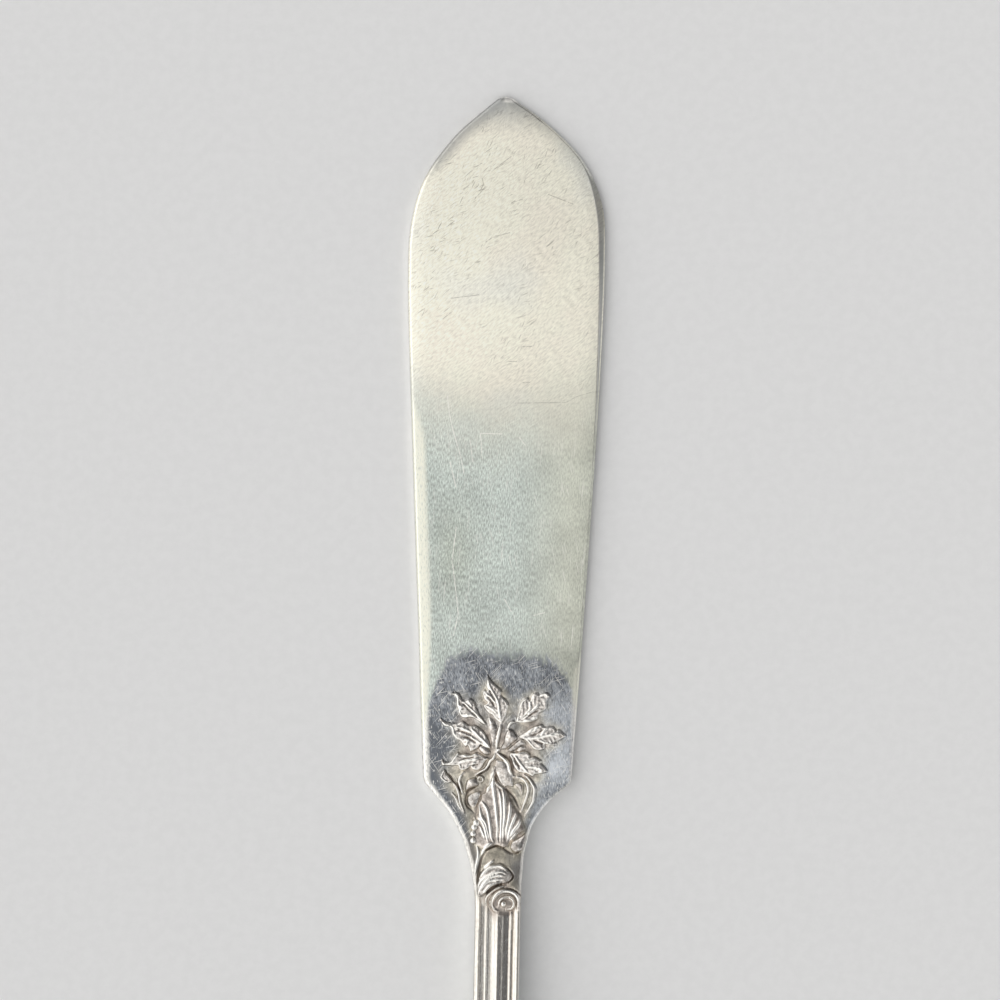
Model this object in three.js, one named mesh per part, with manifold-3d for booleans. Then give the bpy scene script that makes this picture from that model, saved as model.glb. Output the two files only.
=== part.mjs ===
// Master butter knife, flat handled: one struck blank with silver deposited on its front and on its back.
// Millimetres. X runs across the blade, +Y points to the tip, +Z is the decorated front. Z 0 is the table.
import * as THREE from 'three';
import { mergeVertices } from 'three/addons/utils/BufferGeometryUtils.js';
import Module from 'manifold-3d';

const { smoothstep, lerp } = THREE.MathUtils;

// Outline seen from the front
const overallLength = 178;
const bladeLength = 76;
const bladeWidth = 21.8;
const pointLength = 20;
const tipFlat = 1.2;
const shoulderWidth = 16.5;
const cornerRounding = 0.6;
const flareLength = 13;
const stemWidth = 4.96;
const stemLength = 11;
const stemOffset = 0.34;
const handleWidth = 16.4;
const buttLength = 15;

// Thickness, seen from the side
const tipThickness = 0.9;
const bladeThickness = 1.3;
const shoulderThickness = 1.9;
const shoulderRampLength = 11;
const stemThickness = 3;
const handleThickness = 2.3;
const buttThickness = 2;
const handleArch = 2.2;

// Edges of the blade
const edgeDrop = 0.3;
const cuttingBevelWidth = 0.9;
const cuttingBevelFromTip = 14;
const cuttingBevelLength = 22;

// Reeding along both borders of the stem and handle
const reedWidth = 0.6;
const grooveWidth = 0.4;
const filletWidth = 0.25;
const reedDepth = 0.38;
const filletDrop = 0.1;
const reedsBelowShoulder = 10.5;
const reedRunIn = 2;
const reedRunOut = 7;

// Struck ornament
const leafHeight = 0.5;
const stalkHeight = 0.36;
const stalkHalf = 0.2;
const fluteHeight = 0.55;
const fluteHalf = 0.5;
const scrollHeight = 0.5;
const lockHalf = 0.75;
const pearlRadius = 0.36;
const voluteMargin = 0.28;
const voluteTurns = 1.7;
const terminalLength = 18;
const terminalFlutes = 5;
const terminalSpread = 24;
const reliefRoot = 0.6;

// Silver on the blank
const plating = 0.05;

const tipY = overallLength / 2;
const buttY = -overallLength / 2;
const pointY = tipY - pointLength;
const shoulderY = tipY - bladeLength;
const stemY = shoulderY - flareLength;
const handleY = stemY - stemLength;
const widestY = buttY + buttLength;
const voluteRadius = stemWidth / 2 - reedWidth - voluteMargin;
const slimmest = 0.03;
const finestDetail = 0.006;

const wasm = await Module();
wasm.setup();

// A closed solid from points and triangles, turned so that its faces look out.
function solidFrom(points, triangles) {
  const corners = new Float32Array(points.flatMap((point) => point.toArray()));
  let volume = 0;
  for (const [a, b, c] of triangles) {
    volume += points[a].dot(new THREE.Vector3().crossVectors(points[b], points[c]));
  }
  const outward = volume < 0 ? triangles.map(([a, b, c]) => [a, c, b]) : triangles;
  const triVerts = new Uint32Array(outward.flat());
  return new wasm.Manifold(new wasm.Mesh({ numProp: 3, vertProperties: corners, triVerts }));
}

// A loft: each section is a flat outline of Vector2 points and a function that places one in space.
function loft(sections) {
  const size = sections[0].outline.length;
  const points = sections.flatMap(({ outline, place }) => outline.map(place));
  const triangles = [];
  for (let ring = 0; ring < sections.length - 1; ring++) {
    for (let corner = 0; corner < size; corner++) {
      const next = (corner + 1) % size;
      const [a, b] = [ring * size + corner, ring * size + next];
      const [c, d] = [a + size, b + size];
      triangles.push([a, b, d], [a, d, c]);
    }
  }
  const lastRing = (sections.length - 1) * size;
  for (const [a, b, c] of capTriangles(sections[0].outline)) {
    triangles.push([c, b, a]);
  }
  for (const [a, b, c] of capTriangles(sections.at(-1).outline)) {
    triangles.push([lastRing + a, lastRing + b, lastRing + c]);
  }
  return solidFrom(points, triangles);
}

// The end face of a loft, wound the way its outline runs.
function capTriangles(outline) {
  return THREE.ShapeUtils.triangulateShape(outline, []);
}

// The right half of the outline, from the tip to the butt, with the steps that each stretch needs.
function outlineStations() {
  const at = (x, y) => new THREE.Vector2(x, y);
  const [blade, shoulder] = [bladeWidth / 2, shoulderWidth / 2];
  const [stem, handle, tip] = [stemWidth / 2, handleWidth / 2, tipFlat / 2];
  const stretches = [
    // pointed end: a full flank that turns into the side
    [new THREE.CubicBezierCurve(
      at(tip, tipY),
      at(lerp(tip, blade, 0.72), tipY - pointLength * 0.28),
      at(blade, tipY - pointLength * 0.4),
      at(blade, pointY),
    ), 7],
    // side: nearly straight, drawing in to the shoulder
    [new THREE.QuadraticBezierCurve(
      at(blade, pointY),
      at(blade, lerp(pointY, shoulderY, 0.14)),
      at(shoulder, shoulderY + cornerRounding),
    ), 6],
    [new THREE.QuadraticBezierCurve(
      at(shoulder, shoulderY + cornerRounding),
      at(shoulder, shoulderY),
      at(shoulder - cornerRounding, shoulderY - cornerRounding * 0.8),
    ), 2],
    // flare: a hollow sweep from the shoulder into the stem
    [new THREE.CubicBezierCurve(
      at(shoulder - cornerRounding, shoulderY - cornerRounding * 0.8),
      at(lerp(shoulder, stem, 0.62), lerp(shoulderY, stemY, 0.215)),
      at(stem, lerp(shoulderY, stemY, 0.54)),
      at(stem, stemY),
    ), 8],
    [new THREE.LineCurve(at(stem, stemY), at(stem, handleY)), 1],
    // handle: widens slowly to the rounded butt
    [new THREE.CubicBezierCurve(
      at(stem, handleY),
      at(stem, lerp(handleY, widestY, 0.45)),
      at(handle, lerp(handleY, widestY, 0.68)),
      at(handle, widestY),
    ), 7],
    [new THREE.CubicBezierCurve(
      at(handle, widestY),
      at(handle, widestY - buttLength * 0.5),
      at(handle * 0.5, buttY + buttLength * 0.05),
      at(tip, buttY),
    ), 7],
  ];
  return stretches.flatMap(([curve, steps], index) => curve.getPoints(steps).slice(index ? 1 : 0));
}

const stations = outlineStations();

// The stem and handle stand a little to the right of the blade's middle.
const middleX = (y) => stemOffset * smoothstep(shoulderY - y, 0, flareLength);

// The back lies on the table under the blade and at the butt, and arches between them.
function backZ(y) {
  const along = Math.max(0, shoulderY - y) / (shoulderY - buttY);
  return handleArch * Math.sin(Math.PI * along) ** 2;
}

function thickness(y) {
  const blade = lerp(tipThickness, bladeThickness, smoothstep(tipY - y, 0, pointLength));
  const rampStart = shoulderY + shoulderRampLength;
  const shoulder = (shoulderThickness - bladeThickness) * smoothstep(rampStart - y, 0, shoulderRampLength);
  const stem = (stemThickness - shoulderThickness) * smoothstep(shoulderY - y, 0, flareLength);
  const handle = (handleThickness - stemThickness) * smoothstep(handleY - y, 0, handleY - widestY);
  const butt = (buttThickness - handleThickness) * smoothstep(widestY - y, 0, buttLength);
  return blade + shoulder + stem + handle + butt;
}

const frontZ = (y) => backZ(y) + thickness(y);

// The bevel on the right of the blade is ground wider over the belly of the point.
function bevelWidth(y, side) {
  const fromTip = (tipY - y - cuttingBevelFromTip) / cuttingBevelLength;
  const ground = side > 0 ? smoothstep(1 - Math.abs(fromTip), 0, 1) : 0;
  return lerp(reedWidth / 2, cuttingBevelWidth, ground);
}

// One half of the front, from the edge to the middle: distance in from the edge and depth below the face.
function frontProfile(half, y, side) {
  const reeded = smoothstep(shoulderY - reedsBelowShoulder - y, 0, reedRunIn) * smoothstep(y - buttY, 0, reedRunOut);
  const fit = Math.min(1, half / (stemWidth / 2));
  const crown = bevelWidth(y, side) * fit;
  const groove = crown + (reedWidth / 2) * fit;
  const fillet = groove + grooveWidth * fit;
  const filletTop = fillet + (filletWidth / 2) * fit;
  const valley = fillet + filletWidth * fit;
  const panel = half - valley;
  return [
    [0, lerp(edgeDrop, reedDepth * 0.6, reeded)],
    [crown, 0],
    [groove, reedDepth * reeded],
    [fillet, reedDepth * reeded],
    [filletTop, filletDrop * reeded],
    [valley, reedDepth * reeded],
    [valley + panel * 0.2, reedDepth * 0.35 * reeded],
    [valley + panel * 0.55, reedDepth * 0.1 * reeded],
  ];
}

// The body of the knife, drawn in by an inset on every side.
function body(inset) {
  const last = stations.length - 1;
  const sections = stations.map(({ x: half, y }, index) => {
    const front = frontZ(y) - inset;
    const back = backZ(y) + inset;
    const middle = middleX(y);
    const rim = half - inset;
    const rise = (thickness(y) * edgeDrop) / bladeThickness / 2;
    const frontSide = (side) => frontProfile(half, y, side).map(([distance, depth]) => (
      new THREE.Vector2(middle + side * (half - Math.max(distance, inset)), front - depth)
    ));
    const outline = [
      ...frontSide(1),
      new THREE.Vector2(middle, front),
      ...frontSide(-1).reverse(),
      new THREE.Vector2(middle - rim, back + rise),
      new THREE.Vector2(middle - rim * 0.94, back),
      new THREE.Vector2(middle + rim * 0.94, back),
      new THREE.Vector2(middle + rim, back + rise),
    ];
    const endInset = index === 0 ? -inset : index === last ? inset : 0;
    return { outline, place: (point) => new THREE.Vector3(point.x, y + endInset, point.y) };
  });
  return loft(sections);
}

// A raised band along a curve on the front face: a leaf, a stalk, a flute or a scroll.
// Each section gives the way along it, half its width and its height, and ridge lifts the middle over the rims.
function band({ curve, sections, ridge, rim = 0.6 }, inset) {
  const last = sections.length - 1;
  return loft(sections.map(({ along, half, height }, index) => {
    const centre = curve.getPoint(along);
    const forward = curve.getTangent(along);
    const draw = index === 0 ? inset : index === last ? -inset : 0;
    const reach = Math.max(half - inset, slimmest);
    const outline = [
      new THREE.Vector2(reach, -reliefRoot),
      new THREE.Vector2(reach * rim, height - inset),
      new THREE.Vector2(0, height * ridge - inset),
      new THREE.Vector2(-reach * rim, height - inset),
      new THREE.Vector2(-reach, -reliefRoot),
    ];
    const ground = frontZ(centre.y);
    const place = (point) => new THREE.Vector3(
      centre.x + forward.x * draw - forward.y * point.x,
      centre.y + forward.y * draw + forward.x * point.x,
      ground + point.y,
    );
    return { outline, place };
  }));
}

// Sections spaced evenly along a band, from functions of the way along it.
function evenSections(steps, half, height) {
  return Array.from({ length: steps + 1 }, (_, index) => {
    const along = index / steps;
    return { along, half: half(along), height: height(along) };
  });
}

// The ornament is laid out from the shoulder line: across in shares of half the shoulder's width,
// along in shares of the flare's length.
function onShoulder([across, along]) {
  return new THREE.Vector2((across * shoulderWidth) / 2, shoulderY + along * flareLength);
}

const curveThrough = (places) => new THREE.SplineCurve(places.map(onShoulder));

// The edge of a leaf with two lobes a side: the way along the midrib and the share of half the width.
const leafEdge = [[0, 0.2], [0.3, 1], [0.42, 0.6], [0.64, 0.85], [0.76, 0.42], [1, 0.03]];

// A lobed leaf: its stalk end, a point that bends it, its tip, and half its width as a share of half the shoulder.
function leaf([base, bend, tip, half]) {
  const widest = (half * shoulderWidth) / 2;
  const sections = leafEdge.map(([along, share]) => ({
    along,
    half: Math.max(widest * share, 3 * slimmest),
    height: leafHeight * lerp(1, 0.7, along),
  }));
  return { curve: curveThrough([base, bend, tip]), sections, ridge: 1.4, rim: 0.75 };
}

const leaves = [
  [[0.05, 0.5], [-0.03, 0.7], [-0.15, 0.9], 0.19],
  [[0.26, 0.51], [0.45, 0.6], [0.69, 0.74], 0.17],
  [[0.27, 0.37], [0.6, 0.41], [0.93, 0.39], 0.18],
  [[0.07, 0.25], [0.38, 0.19], [0.68, 0.09], 0.16],
  [[-0.16, 0.47], [-0.4, 0.62], [-0.64, 0.74], 0.145],
  [[-0.1, 0.28], [-0.4, 0.45], [-0.78, 0.52], 0.17],
  [[-0.12, 0.2], [-0.44, 0.21], [-0.76, 0.16], 0.145],
  [[-0.58, -0.05], [-0.66, 0.01], [-0.73, 0.07], 0.07],
].map(leaf);

// A stalk or tendril that thins along a few places.
function stalk(places, half = stalkHalf) {
  const sections = evenSections(
    Math.ceil(1.5 * (places.length - 1)),
    (along) => half * lerp(1.1, 0.75, along),
    () => stalkHeight,
  );
  return { curve: curveThrough(places), sections, ridge: 1.25 };
}

const stalks = [
  // leaf stalks gathered at the heart of the spray
  stalk([[-0.01, 0.25], [0.03, 0.4], [0.05, 0.52]]),
  stalk([[0, 0.25], [0.13, 0.38], [0.29, 0.53]]),
  stalk([[0.02, 0.25], [0.16, 0.29], [0.3, 0.38]]),
  stalk([[-0.02, 0.25], [-0.07, 0.38], [-0.18, 0.49]]),
  // tendrils on the left
  stalk([[-0.02, 0.24], [-0.09, 0.18], [-0.21, 0.08], [-0.35, -0.02], [-0.45, -0.12], [-0.41, -0.18], [-0.29, -0.28]]),
  stalk([[-0.59, -0.04], [-0.51, -0.14], [-0.44, -0.27], [-0.34, -0.36]]),
  stalk([[-0.46, 0.07], [-0.49, -0.01], [-0.46, -0.12]]),
  // tendrils on the right
  stalk([[0.03, 0.22], [0.14, 0.12], [0.24, 0.03], [0.36, 0.02], [0.42, -0.05], [0.39, -0.17], [0.31, -0.33]]),
  stalk([[0.36, 0.08], [0.48, 0.01], [0.51, -0.08], [0.47, -0.19], [0.37, -0.34]]),
];

// One flute of the acanthus leaf at the root of the spray.
function flute([base, bend, tip]) {
  const sections = evenSections(
    3,
    (along) => fluteHalf * lerp(1, 0.45, along ** 2),
    (along) => fluteHeight * lerp(1, 0.75, along),
  );
  return { curve: curveThrough([base, bend, tip]), sections, ridge: 1.4, rim: 0.75 };
}

const acanthus = [
  [[0.05, -0.53], [0.01, -0.23], [-0.04, 0.12]],
  [[0, -0.53], [-0.09, -0.27], [-0.15, -0.05]],
  [[-0.06, -0.53], [-0.17, -0.36], [-0.23, -0.16]],
  [[-0.12, -0.55], [-0.24, -0.43], [-0.3, -0.31]],
  [[0.09, -0.53], [0.09, -0.27], [0.08, -0.07]],
  [[0.13, -0.52], [0.19, -0.31], [0.23, -0.14]],
  [[0.18, -0.52], [0.27, -0.4], [0.36, -0.28]],
].map(flute);

// The acanthus leaf that the flutes stand on.
acanthus.push({
  curve: curveThrough([[0.03, -0.56], [0.02, -0.3], [-0.04, 0.1]]),
  sections: [[0, 0.2], [0.2, 0.34], [0.4, 0.3], [0.7, 0.16], [1, 0.03]].map(([along, share]) => ({
    along,
    half: (share * shoulderWidth) / 2,
    height: fluteHeight / 2,
  })),
  ridge: 1.1,
  rim: 0.9,
});

// The curled lock below the acanthus, with a thin strand over it.
const locks = [
  {
    curve: curveThrough([[-0.2, -0.93], [-0.15, -0.82], [-0.03, -0.76], [0.11, -0.77], [0.21, -0.81], [0.17, -0.85]]),
    sections: evenSections(
      8,
      (along) => lerp(stalkHalf, lockHalf, Math.sin(Math.PI * along)),
      () => scrollHeight,
    ),
    ridge: 1.2,
  },
  stalk([[-0.18, -0.82], [-0.14, -0.74], [-0.05, -0.69], [0.04, -0.67]]),
];

// The volute at the head of the stem winds in clockwise from its left border.
const voluteEye = new THREE.Vector2(stemOffset + reedWidth, stemY - reedWidth);

class VoluteCurve extends THREE.Curve {
  getPoint(along) {
    const turn = Math.PI * (0.8 - 2 * voluteTurns * along);
    const radius = lerp(voluteRadius, pearlRadius, along ** 1.2);
    return new THREE.Vector2(radius * Math.cos(turn), radius * Math.sin(turn)).add(voluteEye);
  }
}

const volute = {
  curve: new VoluteCurve(),
  sections: evenSections(18, (along) => lerp(1.4, 0.8, along) * stalkHalf, () => scrollHeight),
  ridge: 1.15,
};

// Flutes fanned out over the butt end of the handle.
function terminal() {
  const rootY = widestY + terminalLength / 2;
  return Array.from({ length: terminalFlutes }, (_, index) => {
    const share = (2 * index) / (terminalFlutes - 1) - 1;
    const root = new THREE.Vector2(stemOffset + 2 * fluteHalf * share, rootY - Math.abs(share));
    const lean = THREE.MathUtils.degToRad(terminalSpread * share);
    const reach = terminalLength * lerp(1, 0.6, Math.abs(share));
    const tip = new THREE.Vector2(Math.sin(lean), -Math.cos(lean)).multiplyScalar(reach).add(root);
    const bend = new THREE.Vector2(lerp(root.x, tip.x, 0.35), lerp(root.y, tip.y, 0.5));
    const sections = evenSections(
      4,
      (along) => lerp(stalkHalf, 2 * fluteHalf, Math.sin(0.9 * Math.PI * along)),
      (along) => fluteHeight * lerp(1, 0.7, along),
    );
    return { curve: new THREE.SplineCurve([root, bend, tip]), sections, ridge: 1.25 };
  });
}

function pearl(inset) {
  const ball = new THREE.SphereGeometry(pearlRadius - inset, 10, 6);
  ball.translate(voluteEye.x, voluteEye.y, frontZ(voluteEye.y) + pearlRadius * 0.4);
  return solidOfGeometry(ball);
}

// A three.js geometry as a solid, its seams closed by joining points that coincide.
function solidOfGeometry(geometry) {
  geometry.deleteAttribute('normal');
  geometry.deleteAttribute('uv');
  const { attributes, index } = mergeVertices(geometry);
  const triVerts = new Uint32Array(index.array);
  return new wasm.Manifold(new wasm.Mesh({ numProp: 3, vertProperties: attributes.position.array, triVerts }));
}

// The whole knife at an inset: 0 gives the silvered outside, the plating's thickness gives the bare blank.
function knife(inset) {
  const bands = [...leaves, ...stalks, ...acanthus, ...locks, volute, ...terminal()];
  const relief = bands.map((form) => band(form, inset)).concat(pearl(inset));
  return relief.reduce((whole, form) => whole.add(form), body(inset)).simplify(finestDetail);
}

// Everything below the middle of the edge, where the front's silver meets the back's.
function belowPartingLine() {
  const reach = bladeWidth;
  const line = stations.map(({ y }) => new THREE.Vector2(y, backZ(y) + thickness(y) / 2));
  const ends = [new THREE.Vector2(tipY + reach, line[0].y), new THREE.Vector2(buttY - reach, line.at(-1).y)];
  const shape = new THREE.Shape([
    new THREE.Vector2(buttY - reach, -reach),
    new THREE.Vector2(tipY + reach, -reach),
    ends[0],
    ...line,
    ends[1],
  ]);
  const block = new THREE.ExtrudeGeometry(shape, { depth: 2 * reach, bevelEnabled: false });
  block.rotateX(Math.PI / 2);
  block.rotateZ(Math.PI / 2);
  block.translate(-reach, 0, 0);
  return solidOfGeometry(block);
}

function meshOf(name, solid, material) {
  const { vertProperties, triVerts, numProp } = solid.getMesh();
  const geometry = new THREE.BufferGeometry();
  geometry.setAttribute('position', new THREE.BufferAttribute(vertProperties, numProp));
  geometry.setIndex(new THREE.BufferAttribute(triVerts, 1));
  geometry.computeVertexNormals();
  const mesh = new THREE.Mesh(geometry, new THREE.MeshStandardMaterial(material));
  mesh.name = name;
  return mesh;
}

const blank = knife(plating);
const silver = knife(0).subtract(blank);
const lower = belowPartingLine();

const butterKnife = new THREE.Group();
butterKnife.add(
  meshOf('nickel_silver_blank', blank, { color: 0xb9b3a4, roughness: 0.35, metalness: 1 }),
  meshOf('silver_plate_front', silver.subtract(lower), { color: 0xd9d6ca, roughness: 0.22, metalness: 1 }),
  meshOf('silver_plate_back', silver.intersect(lower), { color: 0xd4d0c4, roughness: 0.26, metalness: 1 }),
);

export default butterKnife;
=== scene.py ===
import math

import bpy
import numpy as np
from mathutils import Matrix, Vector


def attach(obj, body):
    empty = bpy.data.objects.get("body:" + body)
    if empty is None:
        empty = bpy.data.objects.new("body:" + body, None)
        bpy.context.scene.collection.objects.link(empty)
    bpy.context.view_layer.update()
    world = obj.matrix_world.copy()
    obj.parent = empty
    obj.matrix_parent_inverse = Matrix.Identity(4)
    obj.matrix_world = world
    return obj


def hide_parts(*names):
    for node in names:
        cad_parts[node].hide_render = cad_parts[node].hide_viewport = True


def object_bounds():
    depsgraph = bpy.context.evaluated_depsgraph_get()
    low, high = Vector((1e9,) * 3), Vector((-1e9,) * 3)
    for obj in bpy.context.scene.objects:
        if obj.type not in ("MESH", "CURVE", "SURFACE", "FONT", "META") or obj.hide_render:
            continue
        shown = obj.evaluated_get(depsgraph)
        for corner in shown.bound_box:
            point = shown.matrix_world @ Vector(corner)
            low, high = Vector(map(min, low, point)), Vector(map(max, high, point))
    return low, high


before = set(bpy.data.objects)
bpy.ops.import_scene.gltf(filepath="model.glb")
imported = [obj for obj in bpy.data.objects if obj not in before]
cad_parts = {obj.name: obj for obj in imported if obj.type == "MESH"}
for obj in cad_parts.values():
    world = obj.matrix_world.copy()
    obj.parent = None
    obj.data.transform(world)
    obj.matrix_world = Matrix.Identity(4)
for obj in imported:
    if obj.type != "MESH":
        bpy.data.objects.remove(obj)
cadLow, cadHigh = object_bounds()
print("frame loaded:", sorted(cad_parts))

mm = 0.001  # everything below is drawn in millimetres and scaled once, when a mesh is made

# the knife's own sizes, from the tip (+Y) down to the butt
knife = {
    "tipY": cadHigh.y / mm,
    "buttY": cadLow.y / mm,
    "bladeHalf": (cadHigh.x - cadLow.x) / mm / 2,
    "bladeLength": 76.0,
    "pointLength": 20.0,
    "tipHalf": 0.9,
    "shoulderHalf": 8.25,
    "cornerRound": 0.6,
    "flareLength": 13.0,
    "stemHalf": 2.52,
    "stemLength": 11.0,
    "handleHalf": 8.2,
    "buttLength": 15.0,
    "tipThick": 0.9,
    "bladeThick": 1.3,
    "shoulderThick": 1.9,
    "stemThick": 3.0,
    "handleThick": 2.3,
    "buttThick": 2.0,
    "handleArch": 2.2,
}
knife["pointY"] = knife["tipY"] - knife["pointLength"]
knife["shoulderY"] = knife["tipY"] - knife["bladeLength"]
knife["stemY"] = knife["shoulderY"] - knife["flareLength"]
knife["handleY"] = knife["stemY"] - knife["stemLength"]
knife["widestY"] = knife["buttY"] + knife["buttLength"]


def smoothStep(value, low, high):
    share = np.clip((np.asarray(value, float) - low) / (high - low), 0, 1)
    return share * share * (3 - 2 * share)


def mixed(a, b, share):
    return a + (b - a) * share


def bezier(points, count):
    share = np.linspace(0, 1, count)[:, None]
    level = [np.array(p, float)[None, :] for p in points]
    while len(level) > 1:
        level = [mixed(a, b, share) for a, b in zip(level, level[1:])]
    return level[0]


# half the width at any height, tip to butt; the shares set how full each curve is
def outlineTable():
    k = knife
    tip, blade, shoulder, stem, handle = (
        k[name] for name in ("tipHalf", "bladeHalf", "shoulderHalf", "stemHalf", "handleHalf")
    )
    cornerTop = (shoulder, k["shoulderY"] + k["cornerRound"])
    cornerFoot = (shoulder - 0.75 * k["cornerRound"], k["shoulderY"] - 0.85 * k["cornerRound"])
    straightY = k["stemY"] - 2
    runs = [
        [(0.1 * tip, k["tipY"]), (0.7 * tip, k["tipY"]), (tip, k["tipY"] - 0.35 * tip)],
        [(tip, k["tipY"] - 0.35 * tip), (1.05 * blade, k["tipY"] - 0.385 * k["pointLength"]),
         (blade, k["tipY"] - 0.64 * k["pointLength"]), (blade, k["pointY"])],
        [(blade, k["pointY"]), (blade, mixed(k["pointY"], k["shoulderY"], 0.14)), cornerTop],
        [cornerTop, (shoulder, k["shoulderY"]), cornerFoot],
        [cornerFoot, (mixed(shoulder, stem, 0.6), mixed(k["shoulderY"], k["stemY"], 0.24)),
         (stem, mixed(k["shoulderY"], k["stemY"], 0.44)), (stem, straightY)],
        [(stem, straightY), (stem, k["handleY"])],
        [(stem, k["handleY"]), (stem, mixed(k["handleY"], k["widestY"], 0.45)),
         (handle, mixed(k["handleY"], k["widestY"], 0.68)), (handle, k["widestY"])],
        [(handle, k["widestY"]), (handle, k["widestY"] - 0.5 * k["buttLength"]),
         (handle / 2, k["buttY"] + 0.05 * k["buttLength"]), (tip, k["buttY"])],
    ]
    return np.concatenate([bezier(run, 60) for run in runs])[::-1]


outline = outlineTable()


def halfAt(y):
    return np.interp(y, outline[:, 1], outline[:, 0])


# the middle wanders a little: the stem stands right of the blade, the point leans left
middleLine = [(-11, 0.35), (0, 0.37), (2.5, 0.24), (5.8, -0.02), (8.5, -0.22), (11, -0.22), (13.3, 0.05),
              (20, 0.09), (30, 0.16), (50, 0.18), (72, 0.08), (77, 0.25), (82, 0.27), (86.4, 0.0),
              (89, -0.3)]


# a profile that eases from knot to knot, round on its crests and in its hollows
def easedProfile(knots, value):
    places, heights = (np.array(column) for column in zip(*knots))
    index = np.clip(np.searchsorted(places, value, side="right") - 1, 0, len(places) - 2)
    share = np.clip((value - places[index]) / (places[index + 1] - places[index]), 0, 1)
    return mixed(heights[index], heights[index + 1], share * share * (3 - 2 * share))


# straight between knots, with the corners rounded off
def roundedProfile(knots, value, reach):
    places, heights = zip(*knots)
    return sum(np.interp(value + shift, places, heights) for shift in (-reach, 0, reach)) / 3


def middleAt(y):
    return easedProfile(middleLine, y)


def backAt(y):
    along = np.maximum(0, knife["shoulderY"] - y) / (knife["shoulderY"] - knife["buttY"])
    return knife["handleArch"] * np.sin(np.pi * along) ** 2


# thickness without the struck swell at the shoulder, which has its own arched edge
def plainThickAt(y):
    k = knife
    blade = mixed(k["tipThick"], k["bladeThick"], smoothStep(k["tipY"] - y, 0, k["pointLength"]))
    stem = (k["stemThick"] - k["shoulderThick"]) * smoothStep(k["shoulderY"] - y, 0, k["flareLength"])
    widening = smoothStep(k["handleY"] - y, 0, k["handleY"] - k["widestY"])
    handle = (k["handleThick"] - k["stemThick"]) * widening
    butt = (k["buttThick"] - k["handleThick"]) * smoothStep(k["widestY"] - y, 0, k["buttLength"])
    return blade + stem + handle + butt


swell = {
    "top": 28.4,        # where the blade starts to thicken towards the ornament
    "middle": 1.3,
    "rise": 0.02,
    "length": 13.0,
    "crease": 0.9,
    "archTop": 27.3,    # the flat arch that the finish shows there
    "archMiddle": 0.5,
    "archReach": 6.1,
    "archPower": 6,
    "bulge": 0.7,       # it stands higher on the left
    "bulgeAt": -3.6,
    "bulgeHalf": 2.2,
}


# how far a place lies below the arch
def belowArch(x, y):
    arch = swell["archTop"] - ((x - swell["archMiddle"]) / swell["archReach"]) ** swell["archPower"]
    return arch - y + swell["bulge"] * np.exp(-((x - swell["bulgeAt"]) / swell["bulgeHalf"]) ** 2)


def swellAt(x, y):
    crease = swell["crease"]
    depth = swell["top"] - swell["rise"] * (x - swell["middle"]) ** 2 - y
    soft = np.where(depth < crease, np.maximum(depth + crease, 0) ** 2 / 4 / crease, depth)
    rest = 1 - np.clip(soft / swell["length"], 0, 1)
    return (knife["shoulderThick"] - knife["bladeThick"]) * (1 - rest ** 2)


rim = {
    "drop": 0.3,            # how far the face falls away at the edge
    "width": 0.32,
    "rightWidth": 0.2,      # sharper along the right of the blade
    "flareWidth": 0.5,      # rounder below the shoulder, on the left
    "flareRun": 2.0,
    "power": 2.0,           # the edge falls in a curve
    "rightPower": 1.05,     # and nearly straight on the right
    "grindWidth": 0.72,     # the bevel ground over the belly, on the right
    "grindTop": 82.0,
    "grindPeak": 76.5,
    "grindFoot": 50.0,
    "grindPower": 1.2,
    "roll": 0.05,           # the face rolls off gently before the edge
    "rollWidth": 2.0,
}

# the stem's section, in from each edge: reed, groove, fillet, then the convex panel
reeds = {
    "start": 0.9,
    "runIn": 1.8,
    "runOut": 7.0,
    "round": 0.04,
    "left": [(0, -0.3), (0.1, -0.1), (0.5, 0), (0.55, -0.02), (0.6, -0.22), (0.8, -0.245), (1.06, -0.265),
             (1.18, -0.265), (1.37, -0.18), (1.43, -0.3), (1.64, -0.32), (1.92, -0.327), (2.52, -0.1)],
    "right": [(0, -0.3), (0.08, -0.03), (0.34, 0), (0.72, -0.15), (0.77, -0.34), (0.95, -0.28), (0.99, -0.2),
              (1.15, -0.24), (1.2, -0.37), (1.84, -0.19), (2.02, -0.18), (2.4, -0.12), (2.52, -0.1)],
}


# distance in from the edge, square to it
def edgeDistance(x, y):
    step = 0.05
    steepest = 6
    lean = (halfAt(y + step) - halfAt(y - step)) / (2 * step)
    square = 1 / np.sqrt(1 + np.minimum(np.abs(lean), steepest) ** 2)
    inward = halfAt(y) - np.abs(x - middleAt(y))
    ends = np.minimum(knife["tipY"] - y, y - knife["buttY"])
    return np.minimum(inward * square, ends)


# how wide the ground bevel is at any height, as a share of its widest
def grindAt(y):
    above = smoothStep(rim["grindTop"] - y, 0, rim["grindTop"] - rim["grindPeak"])
    below = np.clip((y - rim["grindFoot"]) / (rim["grindPeak"] - rim["grindFoot"]), 0, 1)
    return np.where(y > rim["grindPeak"], above, below ** rim["grindPower"])


# how far in the edge's bevel reaches
def bevelWidth(x, y):
    onRight = x > middleAt(y)
    blade = np.where(onRight, rim["rightWidth"], rim["width"])
    flare = np.where(onRight, rim["width"], rim["flareWidth"])
    plain = mixed(blade, flare, smoothStep(knife["shoulderY"] - y, 0, rim["flareRun"]))
    return mixed(plain, rim["grindWidth"], np.where(onRight, grindAt(y), 0))


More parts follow.
